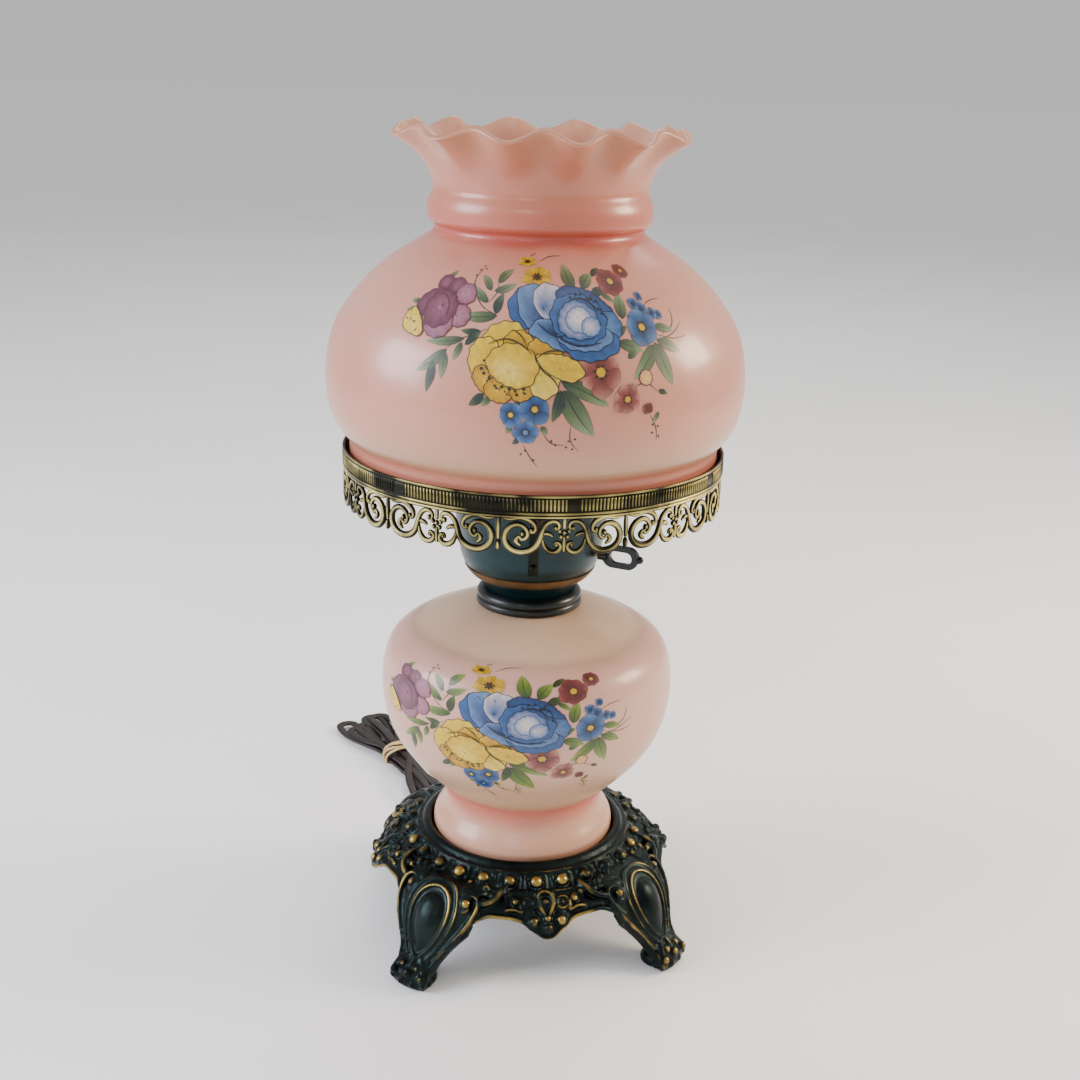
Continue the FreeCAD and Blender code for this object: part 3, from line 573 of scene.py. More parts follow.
def make_shade():
    fitter, body, neck = smooth(SHADE_FITTER, 6), smooth(SHADE_BODY, 90), smooth(SHADE_NECK, 70)
    outer = np.concatenate([fitter[:-1], body[:-1], neck])
    end = outer[-1]
    rim = np.array([(end[0] - 0.3, end[1] + 1.1), (end[0] - 1.4, end[1] + 1.6)])
    soup = Soup()
    soup.lathe(shell(outer, SHADE_WALL, rim), 32 * RUFFLES, crimp)
    place(soup.build("satin_shade"), "shade", "shade_satin_glass", SHADE_GLASS, "shade_glass")


def make_font():
    outer = np.concatenate([smooth(FONT_LOW, 40)[:-1], smooth(FONT_BULB, 90)[:-1], smooth(FONT_CROWN, 40)])
    soup = Soup()
    soup.lathe(shell(outer, FONT_WALL, np.array([(22.5, 192.8)]), (44.5, 55.0)), 288)
    place(soup.build("satin_font"), "lamp", "font_satin_glass", FONT_GLASS, "glass_font")


# ---------------------------------------------------------------- painted flowers
DEEP_BLUE, BLUE, PALE_BLUE = tint(22, 46, 96), tint(44, 86, 142), tint(92, 124, 168)
WHITISH = tint(196, 184, 190)
GOLD, YELLOW, STRAW, CREAM = tint(178, 124, 4), tint(206, 162, 14), tint(216, 180, 38), tint(226, 194, 84)
MAUVE_DEEP, MAUVE, MAUVE_PALE = tint(92, 44, 62), tint(136, 80, 100), tint(168, 114, 130)
BRICK, ROSE, SHELL = tint(104, 36, 38), tint(148, 74, 68), tint(200, 142, 120)
LEAF_DARK, LEAF, LEAF_PALE = tint(38, 54, 44), tint(88, 106, 66), tint(138, 154, 114)
OLIVE_DARK, OLIVE, OLIVE_PALE = tint(44, 58, 18), tint(92, 118, 32), tint(144, 162, 70)
INK, NAVY, BROWN = tint(24, 22, 26), tint(12, 22, 50), tint(52, 44, 16)


class Brush:
    """Paints on turned glass. A stroke's (u, v) are millimetres to the right of and up from a chosen point,
    measured on the glass; each level lies a little further out than the one below it."""

    def __init__(self, outline, reach, level_z, shift=(0.0, 0.0), scale=(1.0, 1.0), greens=None):
        self.skin = np.concatenate([smooth(part, 200)[:-1] for part in outline])
        self.run, self.reach = distance_along(self.skin), reach
        self.start = self.run[np.argmin(np.abs(self.skin[:, 1] - level_z))]
        self.shift, self.scale = np.array(shift), np.array(scale)
        self.normal = offset(self.skin, -1.0) - self.skin
        self.greens = greens or (LEAF_DARK, LEAF, LEAF_PALE)
        self.soup = Soup()

    def lay(self, uv, level):
        uv = np.asarray(uv, float) * self.scale + self.shift
        along = self.start + uv[..., 1]
        r, z = read_off(self.skin, self.run, along)
        out_r, out_z = read_off(self.normal, self.run, along)
        lift = 0.10 + 0.05 * level
        return spun(r + lift * out_r, uv[..., 0] / self.reach, z + lift * out_z)

    def patch(self, corners, focus, inner, outer, level, ink=NAVY, ink_width=0.46, streaks=9, power=1.2):
        """A petal of any outline, shaded from its focus outwards, with a fine dark edge."""
        rim = smooth_loop(corners, 12 * len(corners))
        focus = np.array(focus, float)
        turn = np.arctan2(rim[:, 1] - focus[1], rim[:, 0] - focus[0])
        rim = focus + (rim - focus) * (1.0 + 0.035 * np.sin(11 * turn + corners[0][1]))[:, None]
        share = np.array([0.04, 0.25, 0.5, 0.75, 0.93, 1.0])
        rows = focus + share[:, None, None] * (rim - focus)
        streak = 1.0 + 0.10 * np.sin(streaks * turn + corners[0][0]) * share[:, None]
        mixed = np.array(inner) + share[:, None, None] ** power * (np.array(outer) - np.array(inner))
        index = self.soup.grid(self.lay(rows, level), around=True, paint=mixed * streak[..., None])
        self.soup.cap(index[0, :-1])
        if ink is not None:
            self.edge(np.concatenate([rim, rim[:1]]), ink_width, level + 0.5, ink)

    def edge(self, path, width, level, colour, taper=False):
        """A painted line of one width, or one that thins out at both ends."""
        path = np.array(path, float)
        step = np.gradient(path, axis=0)
        step /= np.maximum(np.linalg.norm(step, axis=1), 1e-9)[:, None]
        side = np.stack([-step[:, 1], step[:, 0]], axis=1)
        half = np.full(len(path), width / 2)
        if taper:
            half *= 0.25 + 0.75 * np.sin(np.linspace(0.12, math.pi - 0.12, len(path)))
        rows = np.stack([path - half[:, None] * side, path + half[:, None] * side])
        self.soup.grid(self.lay(rows, level), paint=np.array(colour))

    def line(self, points, width, level, colour):
        self.edge(smooth(points, 6 * len(points)), width, level, colour, taper=True)

    def blade(self, base, tip, width, bow, tones, level, ink, fullness=0.75, ribs=1):
        """A leaf or petal from its base to its tip: tones at the base, along it and at the tip."""
        base, tip = np.array(base, float), np.array(tip, float)
        axis = tip - base
        side = np.array([-axis[1], axis[0]]) / np.linalg.norm(axis)
        t = np.linspace(0.0, 1.0, 13)
        half = 0.5 * width * np.sin(math.pi * t ** fullness) ** 0.8 + 0.02
        spine = base + t[:, None] * axis + (bow * np.sin(math.pi * t))[:, None] * side
        cuts = np.array([-1, -0.9, -0.5, -0.09, -0.03, 0.03, 0.09, 0.5, 0.9, 1])
        rows = spine[:, None] + cuts[None, :, None] * half[:, None, None] * side
        low, middle, high = (np.array(tone) for tone in tones)
        along = np.where(t[:, None] < 0.5, low + 2 * t[:, None] * (middle - low),
                         middle + (2 * t[:, None] - 1) * (high - middle))
        colour = np.repeat(along[:, None], len(cuts), axis=1)
        colour[:, 5:9] *= 0.86
        if ribs:
            colour[1:-1, 4:6] = np.array(low) * 0.7
        colour[:, [0, -1]] = ink
        self.soup.grid(self.lay(rows, level), paint=colour)

    def leaf(self, base, tip, width, bow=0.0, dark=False, level=1):
        deep, middle, pale = self.greens
        tones = (deep, deep, middle) if dark else (deep, middle, pale)
        self.blade(base, tip, width, bow, tones, level, deep, 0.8)

    def dot(self, spot, radius, level, colour):
        turn = np.arange(8) / 8 * TAU
        ring = np.array(spot) + radius * np.stack([np.cos(turn), np.sin(turn)], axis=1)
        first = self.soup.size
        self.soup.add(self.lay(ring, level), [list(range(first, first + 8))], np.array(colour))

    def daisy(self, middle, radius, petals, tones, level, eye, eye_ring, squash=1.0, plump=0.5, start=0.0,
              ink=NAVY):
        """A small flower of even petals round a dotted eye."""
        middle = np.array(middle, float)

        def towards(angle):
            return np.array([math.cos(angle), squash * math.sin(angle)])

        for k in range(petals):
            angle = start + k * TAU / petals
            reach = radius * (1.0 + 0.10 * math.sin(2.3 * k + middle[0]))
            tip = middle + reach * towards(angle)
            base = middle + 0.12 * reach * towards(angle)
            width = plump * TAU * radius / petals * 1.45
            shade = 0.9 + 0.16 * math.sin(1.7 * k + middle[1])
            shaded = [tuple(c * shade for c in tone) for tone in tones]
            self.blade(base, tip, width, 0.0, shaded, level + 0.25 * (k % 3), ink, 1.35, ribs=0)
        self.dot(middle, 0.20 * radius, level + 1.6, eye)
        for k in range(7):
            spot = middle + 0.27 * radius * towards(k * TAU / 7 + 0.3)
            self.dot(spot, 0.05 * radius + 0.12, level + 1.9, eye_ring)

    def stamens(self, path, count, level, size=0.75, spread=1.3):
        """Dark anthers scattered along a curve."""
        for k, spot in enumerate(smooth(path, count)):
            jog = spread * np.array([math.sin(4.1 * k), math.cos(2.7 * k + 0.5)])
            self.dot(spot + jog, size * (0.75 + 0.35 * math.sin(1.9 * k)), level, INK)


def blue_rose(brush):
    petals = [
        ([(-37, 49), (-35, 56), (-29, 60), (-23, 55), (-20, 44), (-24, 37), (-32, 40)],
         (-24, 42), DEEP_BLUE, BLUE),
        ([(-32, 52), (-31, 60), (-22, 62), (-15, 56), (-13, 43), (-19, 35), (-27, 40)],
         (-18, 40), DEEP_BLUE, PALE_BLUE),
        ([(-23, 54), (-20, 61), (-10, 62), (-5, 57), (-6, 46), (-13, 41), (-20, 46)],
         (-17, 48), BLUE, WHITISH),
        ([(-9, 52), (-8, 59), (2, 61), (12, 58), (18, 52), (12, 48), (0, 48)], (4, 53), BLUE, DEEP_BLUE),
        ([(9, 50), (13, 56), (20, 51), (24, 44), (20, 39), (13, 43)], (15, 47), BLUE, DEEP_BLUE),
        ([(14, 44), (22, 46), (26, 40), (22, 31), (14, 28), (11, 36)], (15, 38), PALE_BLUE, BLUE),
        ([(-22, 40), (-24, 36), (-16, 30), (-6, 26), (-1, 31), (-8, 40)], (-10, 38), DEEP_BLUE, PALE_BLUE),
        ([(-9, 33), (-5, 25), (4, 21), (16, 23), (23, 29), (18, 36), (4, 33)], (8, 33), DEEP_BLUE, BLUE),
        ([(-10, 38), (-8, 30), (2, 26), (13, 27), (20, 34), (12, 38), (0, 37)],
         (4, 37), DEEP_BLUE, PALE_BLUE),
        ([(-13, 45), (-10, 52), (-1, 56), (10, 54), (17, 46), (17, 37), (10, 30), (-1, 29), (-10, 35)],
         (2, 41),
         DEEP_BLUE, BLUE),
    ]
    for level, (corners, focus, inner, outer) in enumerate(petals, 3):
        brush.patch(corners, focus, inner, outer, level, streaks=11)
    brush.line([(-3, 51), (3, 53.5), (9, 52), (14, 46)], 1.5, 13.5, NAVY)
    brush.patch([(-9, 42), (-6, 49), (1, 52.5), (8, 50), (13, 44), (13, 37), (7, 32), (-2, 32), (-8, 36)],
                (0, 42),
                WHITISH, BLUE, 14, power=1.5)
    brush.patch([(-5, 41), (-2, 47), (4, 49), (9, 45), (10, 39), (5, 35), (-2, 36)],
                (2, 43), tint(216, 202, 198),
                PALE_BLUE, 15, ink=BLUE, power=2.2)
    brush.patch([(4, 40), (8, 43), (13, 41), (13, 36), (8, 33), (4, 35)],
                (7, 38), WHITISH, PALE_BLUE, 16, ink=BLUE)
    brush.line([(-14, 37), (-8, 32), (2, 28.5), (13, 30)], 0.9, 16.5, NAVY)
    brush.line([(-20, 40), (-14, 35), (-9, 33), (-5, 34)], 0.8, 16.5, NAVY)
    brush.stamens([(-1, 55), (6, 55.5), (12, 52), (16, 47), (18, 42)], 24, 17)


def yellow_peony(brush):
    petals = [
        ([(-47, 27), (-46, 35), (-38, 40), (-29, 39), (-25, 32), (-31, 25)], (-36, 28), YELLOW, STRAW),
        ([(-30, 36), (-23, 33), (-19, 26), (-26, 21), (-36, 25), (-36, 32)], (-29, 27), GOLD, YELLOW),
        ([(-21, 32), (-14, 33), (-8, 27), (-9, 20), (-18, 19), (-25, 25)], (-18, 24), GOLD, YELLOW),
        ([(-53, 21), (-50, 30), (-42, 31), (-38, 23), (-43, 14), (-51, 15)], (-43, 22), YELLOW, STRAW),
        ([(-50, 13), (-47, 18), (-40, 13), (-37, 6), (-43, 5), (-48, 9)], (-43, 11), YELLOW, GOLD),
        ([(-44, 7), (-38, 1.5), (-32, 2.5), (-31, 8), (-39, 13)], (-37, 7), YELLOW, GOLD),
        ([(-32, 7), (-29, 2.5), (-24, 3), (-20, 8), (-26, 12)], (-26, 8), YELLOW, GOLD),
        ([(-23, 10), (-19, 4.5), (-13, 4.5), (-9, 10), (-11, 18), (-20, 21)], (-18, 15), STRAW, CREAM),
        ([(-20, 23), (-12, 24.5), (-2, 22), (3, 16), (-1, 12), (-9, 13), (-17, 18)], (-9, 18), YELLOW, STRAW),
    ]
    for level, (corners, focus, inner, outer) in enumerate(petals, 5):
        brush.patch(corners, focus, inner, outer, level, ink=BROWN, streaks=10)
    brush.patch([(-44, 20), (-39, 27), (-30, 29), (-22, 25), (-19, 16), (-24, 9), (-33, 9), (-41, 14)],
                (-33, 17),
                STRAW, YELLOW, 15, ink=BROWN, power=1.8)
    brush.patch([(-41, 19), (-36, 22), (-29, 18), (-24, 11), (-30, 9), (-38, 13)], (-33, 16), CREAM,
                STRAW, 16, ink=None)
    brush.line([(-44, 28), (-35, 31), (-27, 28), (-22, 24)], 0.8, 16.5, BROWN)
    brush.line([(-20, 22), (-16, 25), (-10, 26), (-4, 25)], 0.8, 16.5, BROWN)
    brush.line([(-20, 21), (-16, 16), (-12, 13), (-9, 8)], 0.8, 16.5, BROWN)
    brush.line([(-33, 36), (-28, 33), (-25, 28)], 0.7, 16.5, BROWN)
    brush.stamens([(-45, 19), (-43, 13), (-38, 9), (-31, 6.5), (-24, 7)], 22, 17)


def mauve_rose(brush):
    petals = [
        ([(-86, 57), (-86, 63), (-80, 64), (-76, 60), (-79, 55)], (-81, 59), MAUVE, MAUVE_DEEP),
        ([(-78, 58), (-75, 63), (-69, 62), (-66, 57), (-72, 53)], (-72, 58), MAUVE, MAUVE_DEEP),
        ([(-70, 57), (-65, 60), (-59, 57), (-58, 50), (-64, 48), (-70, 52)], (-65, 54), MAUVE_PALE, MAUVE),
        ([(-68, 46), (-61, 47), (-57, 41), (-60, 36), (-66, 36), (-70, 41)], (-65, 41), MAUVE_PALE, MAUVE),
        ([(-93, 46), (-89, 53), (-80, 56), (-72, 52), (-72, 43), (-80, 40), (-89, 40)],
         (-82, 47), MAUVE, MAUVE_DEEP),
        ([(-80, 42), (-73, 44), (-66, 38), (-68, 31), (-76, 29), (-82, 34)], (-75, 37), MAUVE_PALE, MAUVE),
        ([(-86, 50), (-79, 55), (-70, 52), (-66, 44), (-70, 36), (-79, 34), (-86, 41)],
         (-76, 46), MAUVE, MAUVE_DEEP),
    ]
    for level, (corners, focus, inner, outer) in enumerate(petals, 3):
        brush.patch(corners, focus, inner, outer, level, ink=MAUVE_DEEP, streaks=8)
    brush.line([(-84, 52), (-77, 52), (-72, 47), (-71, 40)], 0.8, 11, MAUVE_DEEP)
    brush.patch([(-97, 37), (-93, 43), (-88, 40), (-83, 34), (-82, 29), (-88, 29), (-95, 32)],
                (-90, 35), CREAM, STRAW,
                11, ink=BROWN)
    brush.stamens([(-94, 39), (-90, 35), (-86, 32)], 11, 12, 0.55, 1.8)


LEAVES = [  # base, tip, width, bow, dark
    ((-43, 44), (-41, 56), 5.5, 0.8, True), ((-42, 43), (-63, 42), 6.0, 0.8, False),
    ((-49, 34), (-60, 34), 3.6, 0.3, True), ((-49, 50), (-60, 59), 4.6, 0.5, False),
    ((-49, 57), (-58, 67), 4.6, -0.5, False), ((-46, 62), (-38, 72), 6.0, 1.0, False),
    ((-47, 57), (-34, 62), 5.0, -0.8, False), ((-56, 27), (-49, 34), 3.8, 0.4, True),
    ((-57, 30), (-78, 27), 4.6, 0.8, False), ((-58, 28), (-61, 19), 3.8, 0.3, False),
    ((-65, 24), (-80, 12), 5.6, 0.8, False), ((-66, 23), (-66, 10), 4.6, 0.5, False),
    ((-71, 18), (-73, 3), 4.8, 0.5, True), ((-44, 5), (-51, -1), 4.4, 0.4, True),
    ((-41, 4), (-45, -1), 3.2, 0.2, False), ((-8, 8), (-12, -7), 5.6, 0.8, True),
    ((-8, 12), (15, 0), 7.6, 0.9, False), ((-7, 8), (8, -14), 10.5, -1.2, False),
    ((2, 60), (-2, 77), 8.6, 0.6, False), ((8, 60), (17, 70), 7.4, 0.8, False),
    ((13, 56), (23, 60), 5.6, 0.3, True), ((19, 57), (27, 51), 3.2, 0.2, False),
    ((28, 42), (31, 57), 7.0, 0.5, False), ((42, 28), (28, 12), 7.4, 0.9, False),
    ((43, 29), (50, 8), 8.0, -0.8, False), ((45, 30), (58, 23), 6.0, 0.4, False),
    ((46, 37), (58, 34), 4.8, 0.4, False), ((22, 30), (35, 25), 6.2, 0.4, False),
    ((26, 22), (33, 27), 3.8, 0.2, False), ((19, 33), (29, 38), 5.6, 0.3, True),
    ((-82, 62), (-78, 68), 3.4, 0.2, False), ((-92, 47), (-99, 47), 3.0, 0.2, False),
    ((-92, 43), (-99, 41), 3.0, 0.2, False), ((17, 68), (25, 74), 4.0, 0.3, True),
    ((41, -4), (38, -9), 2.4, 0.2, False), ((41, 6), (46, 4), 2.6, 0.2, True),
    ((-25, 3), (-30, 1), 2.6, 0.2, True), ((-31, -9), (-33, -13), 3.0, 0.2, False),
    ((-17, -9), (-14, -13), 3.0, 0.2, False), ((-27, -15), (-30, -18), 2.6, 0.2, True),
]
STEMS = [
    [(-62, 61), (-56, 52), (-49, 46), (-43, 44)], [(-60, 72), (-62, 62), (-56, 55)],
    [(-49, 50), (-45, 58), (-46, 62)],
    [(-66, 24), (-60, 29), (-52, 33), (-46, 36)], [(-66, 24), (-70, 18)], [(-63, 42), (-50, 44)],
    [(31, 44), (36, 36), (42, 30), (46, 31)], [(42, 30), (58, 33), (66, 38)], [(46, 33), (57, 30), (66, 31)],
    [(50, 33), (60, 38), (63, 46)], [(44, 48), (50, 51), (59, 52)], [(-20, 78), (-13, 82), (-2, 83)],
    [(-8, 8), (-4, 2), (2, -6)], [(-25, -18), (-22, -24), (-18, -30)], [(-16, -12), (-12, -17), (-6, -18)],
    [(-3, -8), (-3, -16), (1, -21)], [(36, -5), (40, -12), (41, -18)], [(27, 8), (34, 10), (40, 6)],
]
SPRIG_DOTS = [
    (-60, 73), (-62, 70), (-58, 71), (-63, 66), (-26, 83), (-24, 84), (-4, -16), (-1, -15), (-5, -19),
    (-2, -20),
    (-24, -21), (-26, -23), (-20, -26), (-12, -16), (-10, -18), (38, -10), (41, -11), (38, -14), (42, -16),
]


def bouquet(brush):
    for points in STEMS:
        brush.line(points, 0.55, 0.4, brush.greens[0])
    for base, tip, width, bow, dark in LEAVES:
        tier = len(str(base)) % 4  # only spreads the leaves over four levels, so that crossing ones lie apart
        brush.leaf(base, tip, width, bow, dark, level=1 + 0.3 * tier)
    for spot in SPRIG_DOTS:
        brush.dot(spot, 0.6, 0.8, BROWN)
    yellow, red = (GOLD, YELLOW, STRAW), (BRICK, BRICK, ROSE)
    pink, blue = (BRICK, ROSE, SHELL), (NAVY, BLUE, PALE_BLUE)
    brush.daisy((-29, 78), 7.0, 14, yellow, 2, BROWN, INK, 0.55, ink=BROWN)
    brush.daisy((-21, 67), 10.5, 18, yellow, 3, BROWN, INK, 0.75, ink=BROWN)
    brush.daisy((42, 71), 6.5, 7, red, 2, YELLOW, BROWN, 0.8, 0.6, 0.4, BRICK)
    brush.daisy((29, 64), 10.5, 7, red, 3, YELLOW, BROWN, 0.85, 0.6, 0.2, BRICK)
    brush.daisy((11, 16), 11.5, 6, pink, 4, YELLOW, BROWN, 1.0, 0.62, 0.6, BRICK)
    brush.daisy((24, 3), 7.4, 7, pink, 5, YELLOW, BROWN, 1.0, 0.62, 0.2, BRICK)
    brush.daisy((35, -2), 2.8, 4, red, 4, BRICK, BROWN, 1.0, 0.7, 0.2, BRICK)
    brush.patch([(31, 11), (33, 16), (37, 15), (37, 10), (34, 9)], (34, 12), CREAM, SHELL, 4, ink=BRICK)
    brush.daisy((38, 37), 9.6, 5, blue, 4, YELLOW, BROWN, 1.0, 0.62, 0.5)
    for spot, size in (((38, 50), 3.4), ((42, 47), 3.6), ((44, 54), 2.6), ((48, 44), 3.2), ((52, 43), 2.6)):
        brush.daisy(spot, size, 4, blue, 4, DEEP_BLUE, NAVY, 1.0, 0.7, spot[0])
    brush.daisy((-20, -1), 7.4, 5, blue, 4, YELLOW, BROWN, 1.0, 0.62, 0.3)
    brush.daisy((-31, -4), 5.8, 5, blue, 3, STRAW, BROWN, 1.0, 0.62, 0.9)
    brush.daisy((-24, -12), 6.0, 6, blue, 5, PALE_BLUE, NAVY, 1.0, 0.62, 0.1)
    mauve_rose(brush)
    blue_rose(brush)
    yellow_peony(brush)


def make_flowers():
    on_shade = Brush([SHADE_FITTER, SHADE_BODY, SHADE_NECK], 110.0, 330.0)
    bouquet(on_shade)
    place(on_shade.soup.build("shade_flowers"), "shade", "shade_satin_glass", FLOWER_PAINT)
    on_font = Brush([FONT_LOW, FONT_BULB, FONT_CROWN], 82.0, 146.0, (-16.0, -22.0), (0.95, 0.76),
                    (OLIVE_DARK, OLIVE, OLIVE_PALE))
    bouquet(on_font)
    place(on_font.soup.build("font_flowers"), "lamp", "font_satin_glass", FLOWER_PAINT)


# ---------------------------------------------------------------- cast base
BASE_RING = [(46.0, 51.0), (46.0, 54.0), (53.4, 54.0), (53.4, 58.6), (54.3, 60.0), (55.8, 60.4), (57.6, 59.6),
             (59.4, 57.6), (60.6, 55.6), (61.6, 55.8), (62.4, 55.0), (65.4, 52.4), (68.4, 50.2), (69.4, 50.6),
             (70.6, 50.2), (71.6, 48.6), (71.2, 46.8), (67.6, 45.6), (56.0, 50.0)]
LEG_LINE = [(66.0, 49.8), (74.0, 48.8), (83.0, 41.5), (89.0, 32.0), (93.0, 23.0), (97.5, 14.5), (102.6, 9.6),
            (106.4, 4.6), (105.8, 0.6)]
LEG_HALF = [(0, 16.0), (8, 18.0), (19, 22.5), (27, 25.0), (33, 24.0), (42, 17.5), (50, 13.0), (58, 11.6),
            (69, 11.0)]
SKIRT_LINE = [(69.0, 50.0), (76.0, 46.5), (83.0, 40.5), (88.0, 32.5), (90.0, 25.5)]
CARTOUCHE_TOP, CARTOUCHE_LENGTH, CARTOUCHE_HALF = 15.5, 35.0, 8.8
TOE_R, TOE_REACH = 96.4, 10.4
BEADS, BEAD_R, BEAD_CIRCLE_R, BEAD_Z, BEAD_FIRST = 28, 3.7, 65.6, 53.2, -3.0
VOXEL, QUICK_VOXEL = 0.0007, 0.0011


def mirrored(points):
    """The same points on the other side of the middle line."""
    return [(-s, q) for s, q in points]


def symmetric(half):
    """A line that ends on the middle line, carried on by its mirror image."""
    return half + mirrored(half)[-2::-1]


class Relief:
    """Ornament on a wall of the casting: s mm sideways, q mm down from its top and h mm proud of it."""

    def __init__(self, soup, line, azimuth):
        self.soup, self.turn = soup, math.radians(azimuth)
        self.skin = smooth(line, 240)
        self.run = distance_along(self.skin)
        self.normal = offset(self.skin, 1.0) - self.skin

    def at(self, s, q, h=0.0):
        s, q, h = np.broadcast_arrays(np.asarray(s, float), np.asarray(q, float), np.asarray(h, float))
        r, z = read_off(self.skin, self.run, q)
        out_r, out_z = read_off(self.normal, self.run, q)
        deep = np.sqrt(np.maximum(r ** 2 - s ** 2, 0.0)) + h * out_r
        return beside(self.turn, s, deep, z + h * out_z)

    def ridge(self, points, radius, h=0.5, taper=0.0):
        path = smooth(points, 7 * len(points))
        radii = radius * (1.0 - taper * np.abs(np.linspace(-1, 1, len(path))) ** 2)
        self.soup.tube(self.at(path[:, 0], path[:, 1], h), radii, sides=8)

    def loop(self, s, q, reach, radius, h=0.5):
        turn = np.linspace(0, TAU, 15)
        self.soup.tube(self.at(s + reach * np.cos(turn), q + reach * np.sin(turn), h), radius, sides=8)

    def bead(self, s, q, radius, h=0.6):
        self.soup.ball(self.at(s, q, h), radius)


def leg(soup, azimuth):
    face = Relief(soup, LEG_LINE, azimuth)
    q = np.linspace(-1.0, face.run[-1], 40)
    half = np.interp(q, *np.array(LEG_HALF, float).T)
    across = np.linspace(-1.0, 1.0, 15)
    outer = face.at(half[:, None] * across, q[:, None], 1.6 * (1 - across ** 2)[None, :])
    inner = face.at(half[:, None] * across[::-1], q[:, None], -4.0)
    soup.grid(np.concatenate([outer, inner], axis=1), around=True, capped=True)

    t = np.linspace(0.02, 0.98, 18)
    wide = CARTOUCHE_HALF * np.sin(math.pi * t ** 0.62) ** 0.85
    turn = np.linspace(0, math.pi, 11)
    wide, down = wide[:, None], CARTOUCHE_TOP + CARTOUCHE_LENGTH * t[:, None]
    dome = face.at(wide * np.cos(turn), down, 1.0 + 0.46 * wide * np.sin(turn))
    under = face.at(wide * np.array([[-1.0, 1.0]]), down, -1.0)
    soup.grid(np.concatenate([dome, under], axis=1), around=True, capped=True)

    frame_line = [(0, 53), (-5, 46), (-9.0, 38), (-11.6, 28), (-10.2, 18.5), (-5.4, 12.8), (0, 11.4)]
    outer_line = [(-2.4, 56), (-8, 48), (-13.0, 38), (-15.6, 28), (-14.4, 17.5), (-8.6, 9.2), (0, 7.0)]
    face.ridge(symmetric(frame_line), 1.15, 1.7)
    face.ridge(symmetric(outer_line), 1.0, 1.3)
    scroll = [(21.2, 18.2), (19.2, 20.4), (15.9, 19.0), (15.0, 15.4), (17.2, 12.2), (21.4, 11.6), (24.8, 14.6),
              (25.4, 19.8), (24.0, 26.0), (20.8, 33.0), (16.4, 40.0), (12.6, 47.0), (10.8, 54.0)]
    for points in (scroll, mirrored(scroll)):
        face.ridge(points, 1.45, 0.9, 0.35)
    for side in (-1, 1):
        face.bead(side * 18.6, 16.2, 2.7, 1.0)
        for s, down, size in ((13.5, 3.0, 2.3), (18.5, 2.6, 2.5), (23.0, 4.6, 2.4), (26.2, 8.6, 2.1)):
            middle = (side * (13.0 + 0.6 * (s - 13.0)), 0.55 * down + 4.6)
            rib = [(side * 13.0, 11.5), middle, (side * s, down)]
            face.ridge(rib, 0.62 * size, 0.6)
            face.bead(side * s, down, size, 0.8)
        flank = [(22, 0.5, 0.5), (28.5, -0.5, 1.5), (32.5, 5, 2.0), (31.5, 11.5, 1.5), (26, 14.5, 0.5)]
        s, q, h = smooth(flank, 30).T
        soup.tube(face.at(side * s, q, h), 1.9, sides=8)
        face.bead(side * 28.8, 8.6, 1.8, 1.0)
        face.ridge([(side * 3.0, 51), (side * 6.4, 55), (side * 9.2, 60)], 2.1, 0.8, 0.2)
    face.ridge([(0, 50), (0, 55), (0, 61)], 2.5, 1.2, 0.2)
    for side in (-1, 1):
        face.ridge([(side * 8.0, 51), (side * 9.8, 57), (side * 10.6, 62), (side * 10.2, 66)], 2.0, 0.0, 0.2)
        face.bead(side * 9.4, 61.5, 2.4, 1.4)
        face.bead(side * 4.6, 57.5, 2.3, 1.9)
    face.bead(0, 60.5, 2.6, 1.8)

    def toe(reach, angle, z, radius):
        aside, deep = reach * math.sin(angle), TOE_R + reach * math.cos(angle)
        soup.ball(beside(face.turn, aside, deep, z), radius)

    soup.ball(beside(face.turn, 0.0, TOE_R, 2.0), 10.4, (1, 1, 0.7), 12, 24)
    for degrees in (-66, -22, 22, 66):
        toe(TOE_REACH, math.radians(degrees), 3.2, 2.7)
    for degrees in (-50, 0, 50):
        toe(TOE_REACH - 2.6, math.radians(degrees), 9.0, 2.5)


def skirt(soup):
    """Apron between the legs, its lower edge scalloped, dipping in the middle of each side where a medallion
    goes.
    """
    face = Relief(soup, SKIRT_LINE, 0.0)
    azimuth = np.arange(0, 360, 1.5)
    away = (azimuth + 45.0) % 90.0 - 45.0
    near_leg = np.clip((np.abs(away) - 21.0) / 13.0, 0, 1)
    depth = 16.0 + 10.5 * np.exp(-(away / 7.0) ** 2) + 9.0 * near_leg * near_leg * (3 - 2 * near_leg)
    share = np.linspace(0, 1, 10)
    outer = face.at(0.0, depth[:, None] * share, 0.0)
    inner = face.at(0.0, depth[:, None] * share[::-1], -3.2)
    ring = np.concatenate([outer, inner], axis=1)
    around = spun(-ring[..., 1], np.radians(azimuth)[:, None], ring[..., 2])
    soup.grid(around, around=True, closed=True)
    hem = around[:, len(share) - 1]
    soup.tube(np.concatenate([hem, hem[:2]]), 1.35, sides=8)


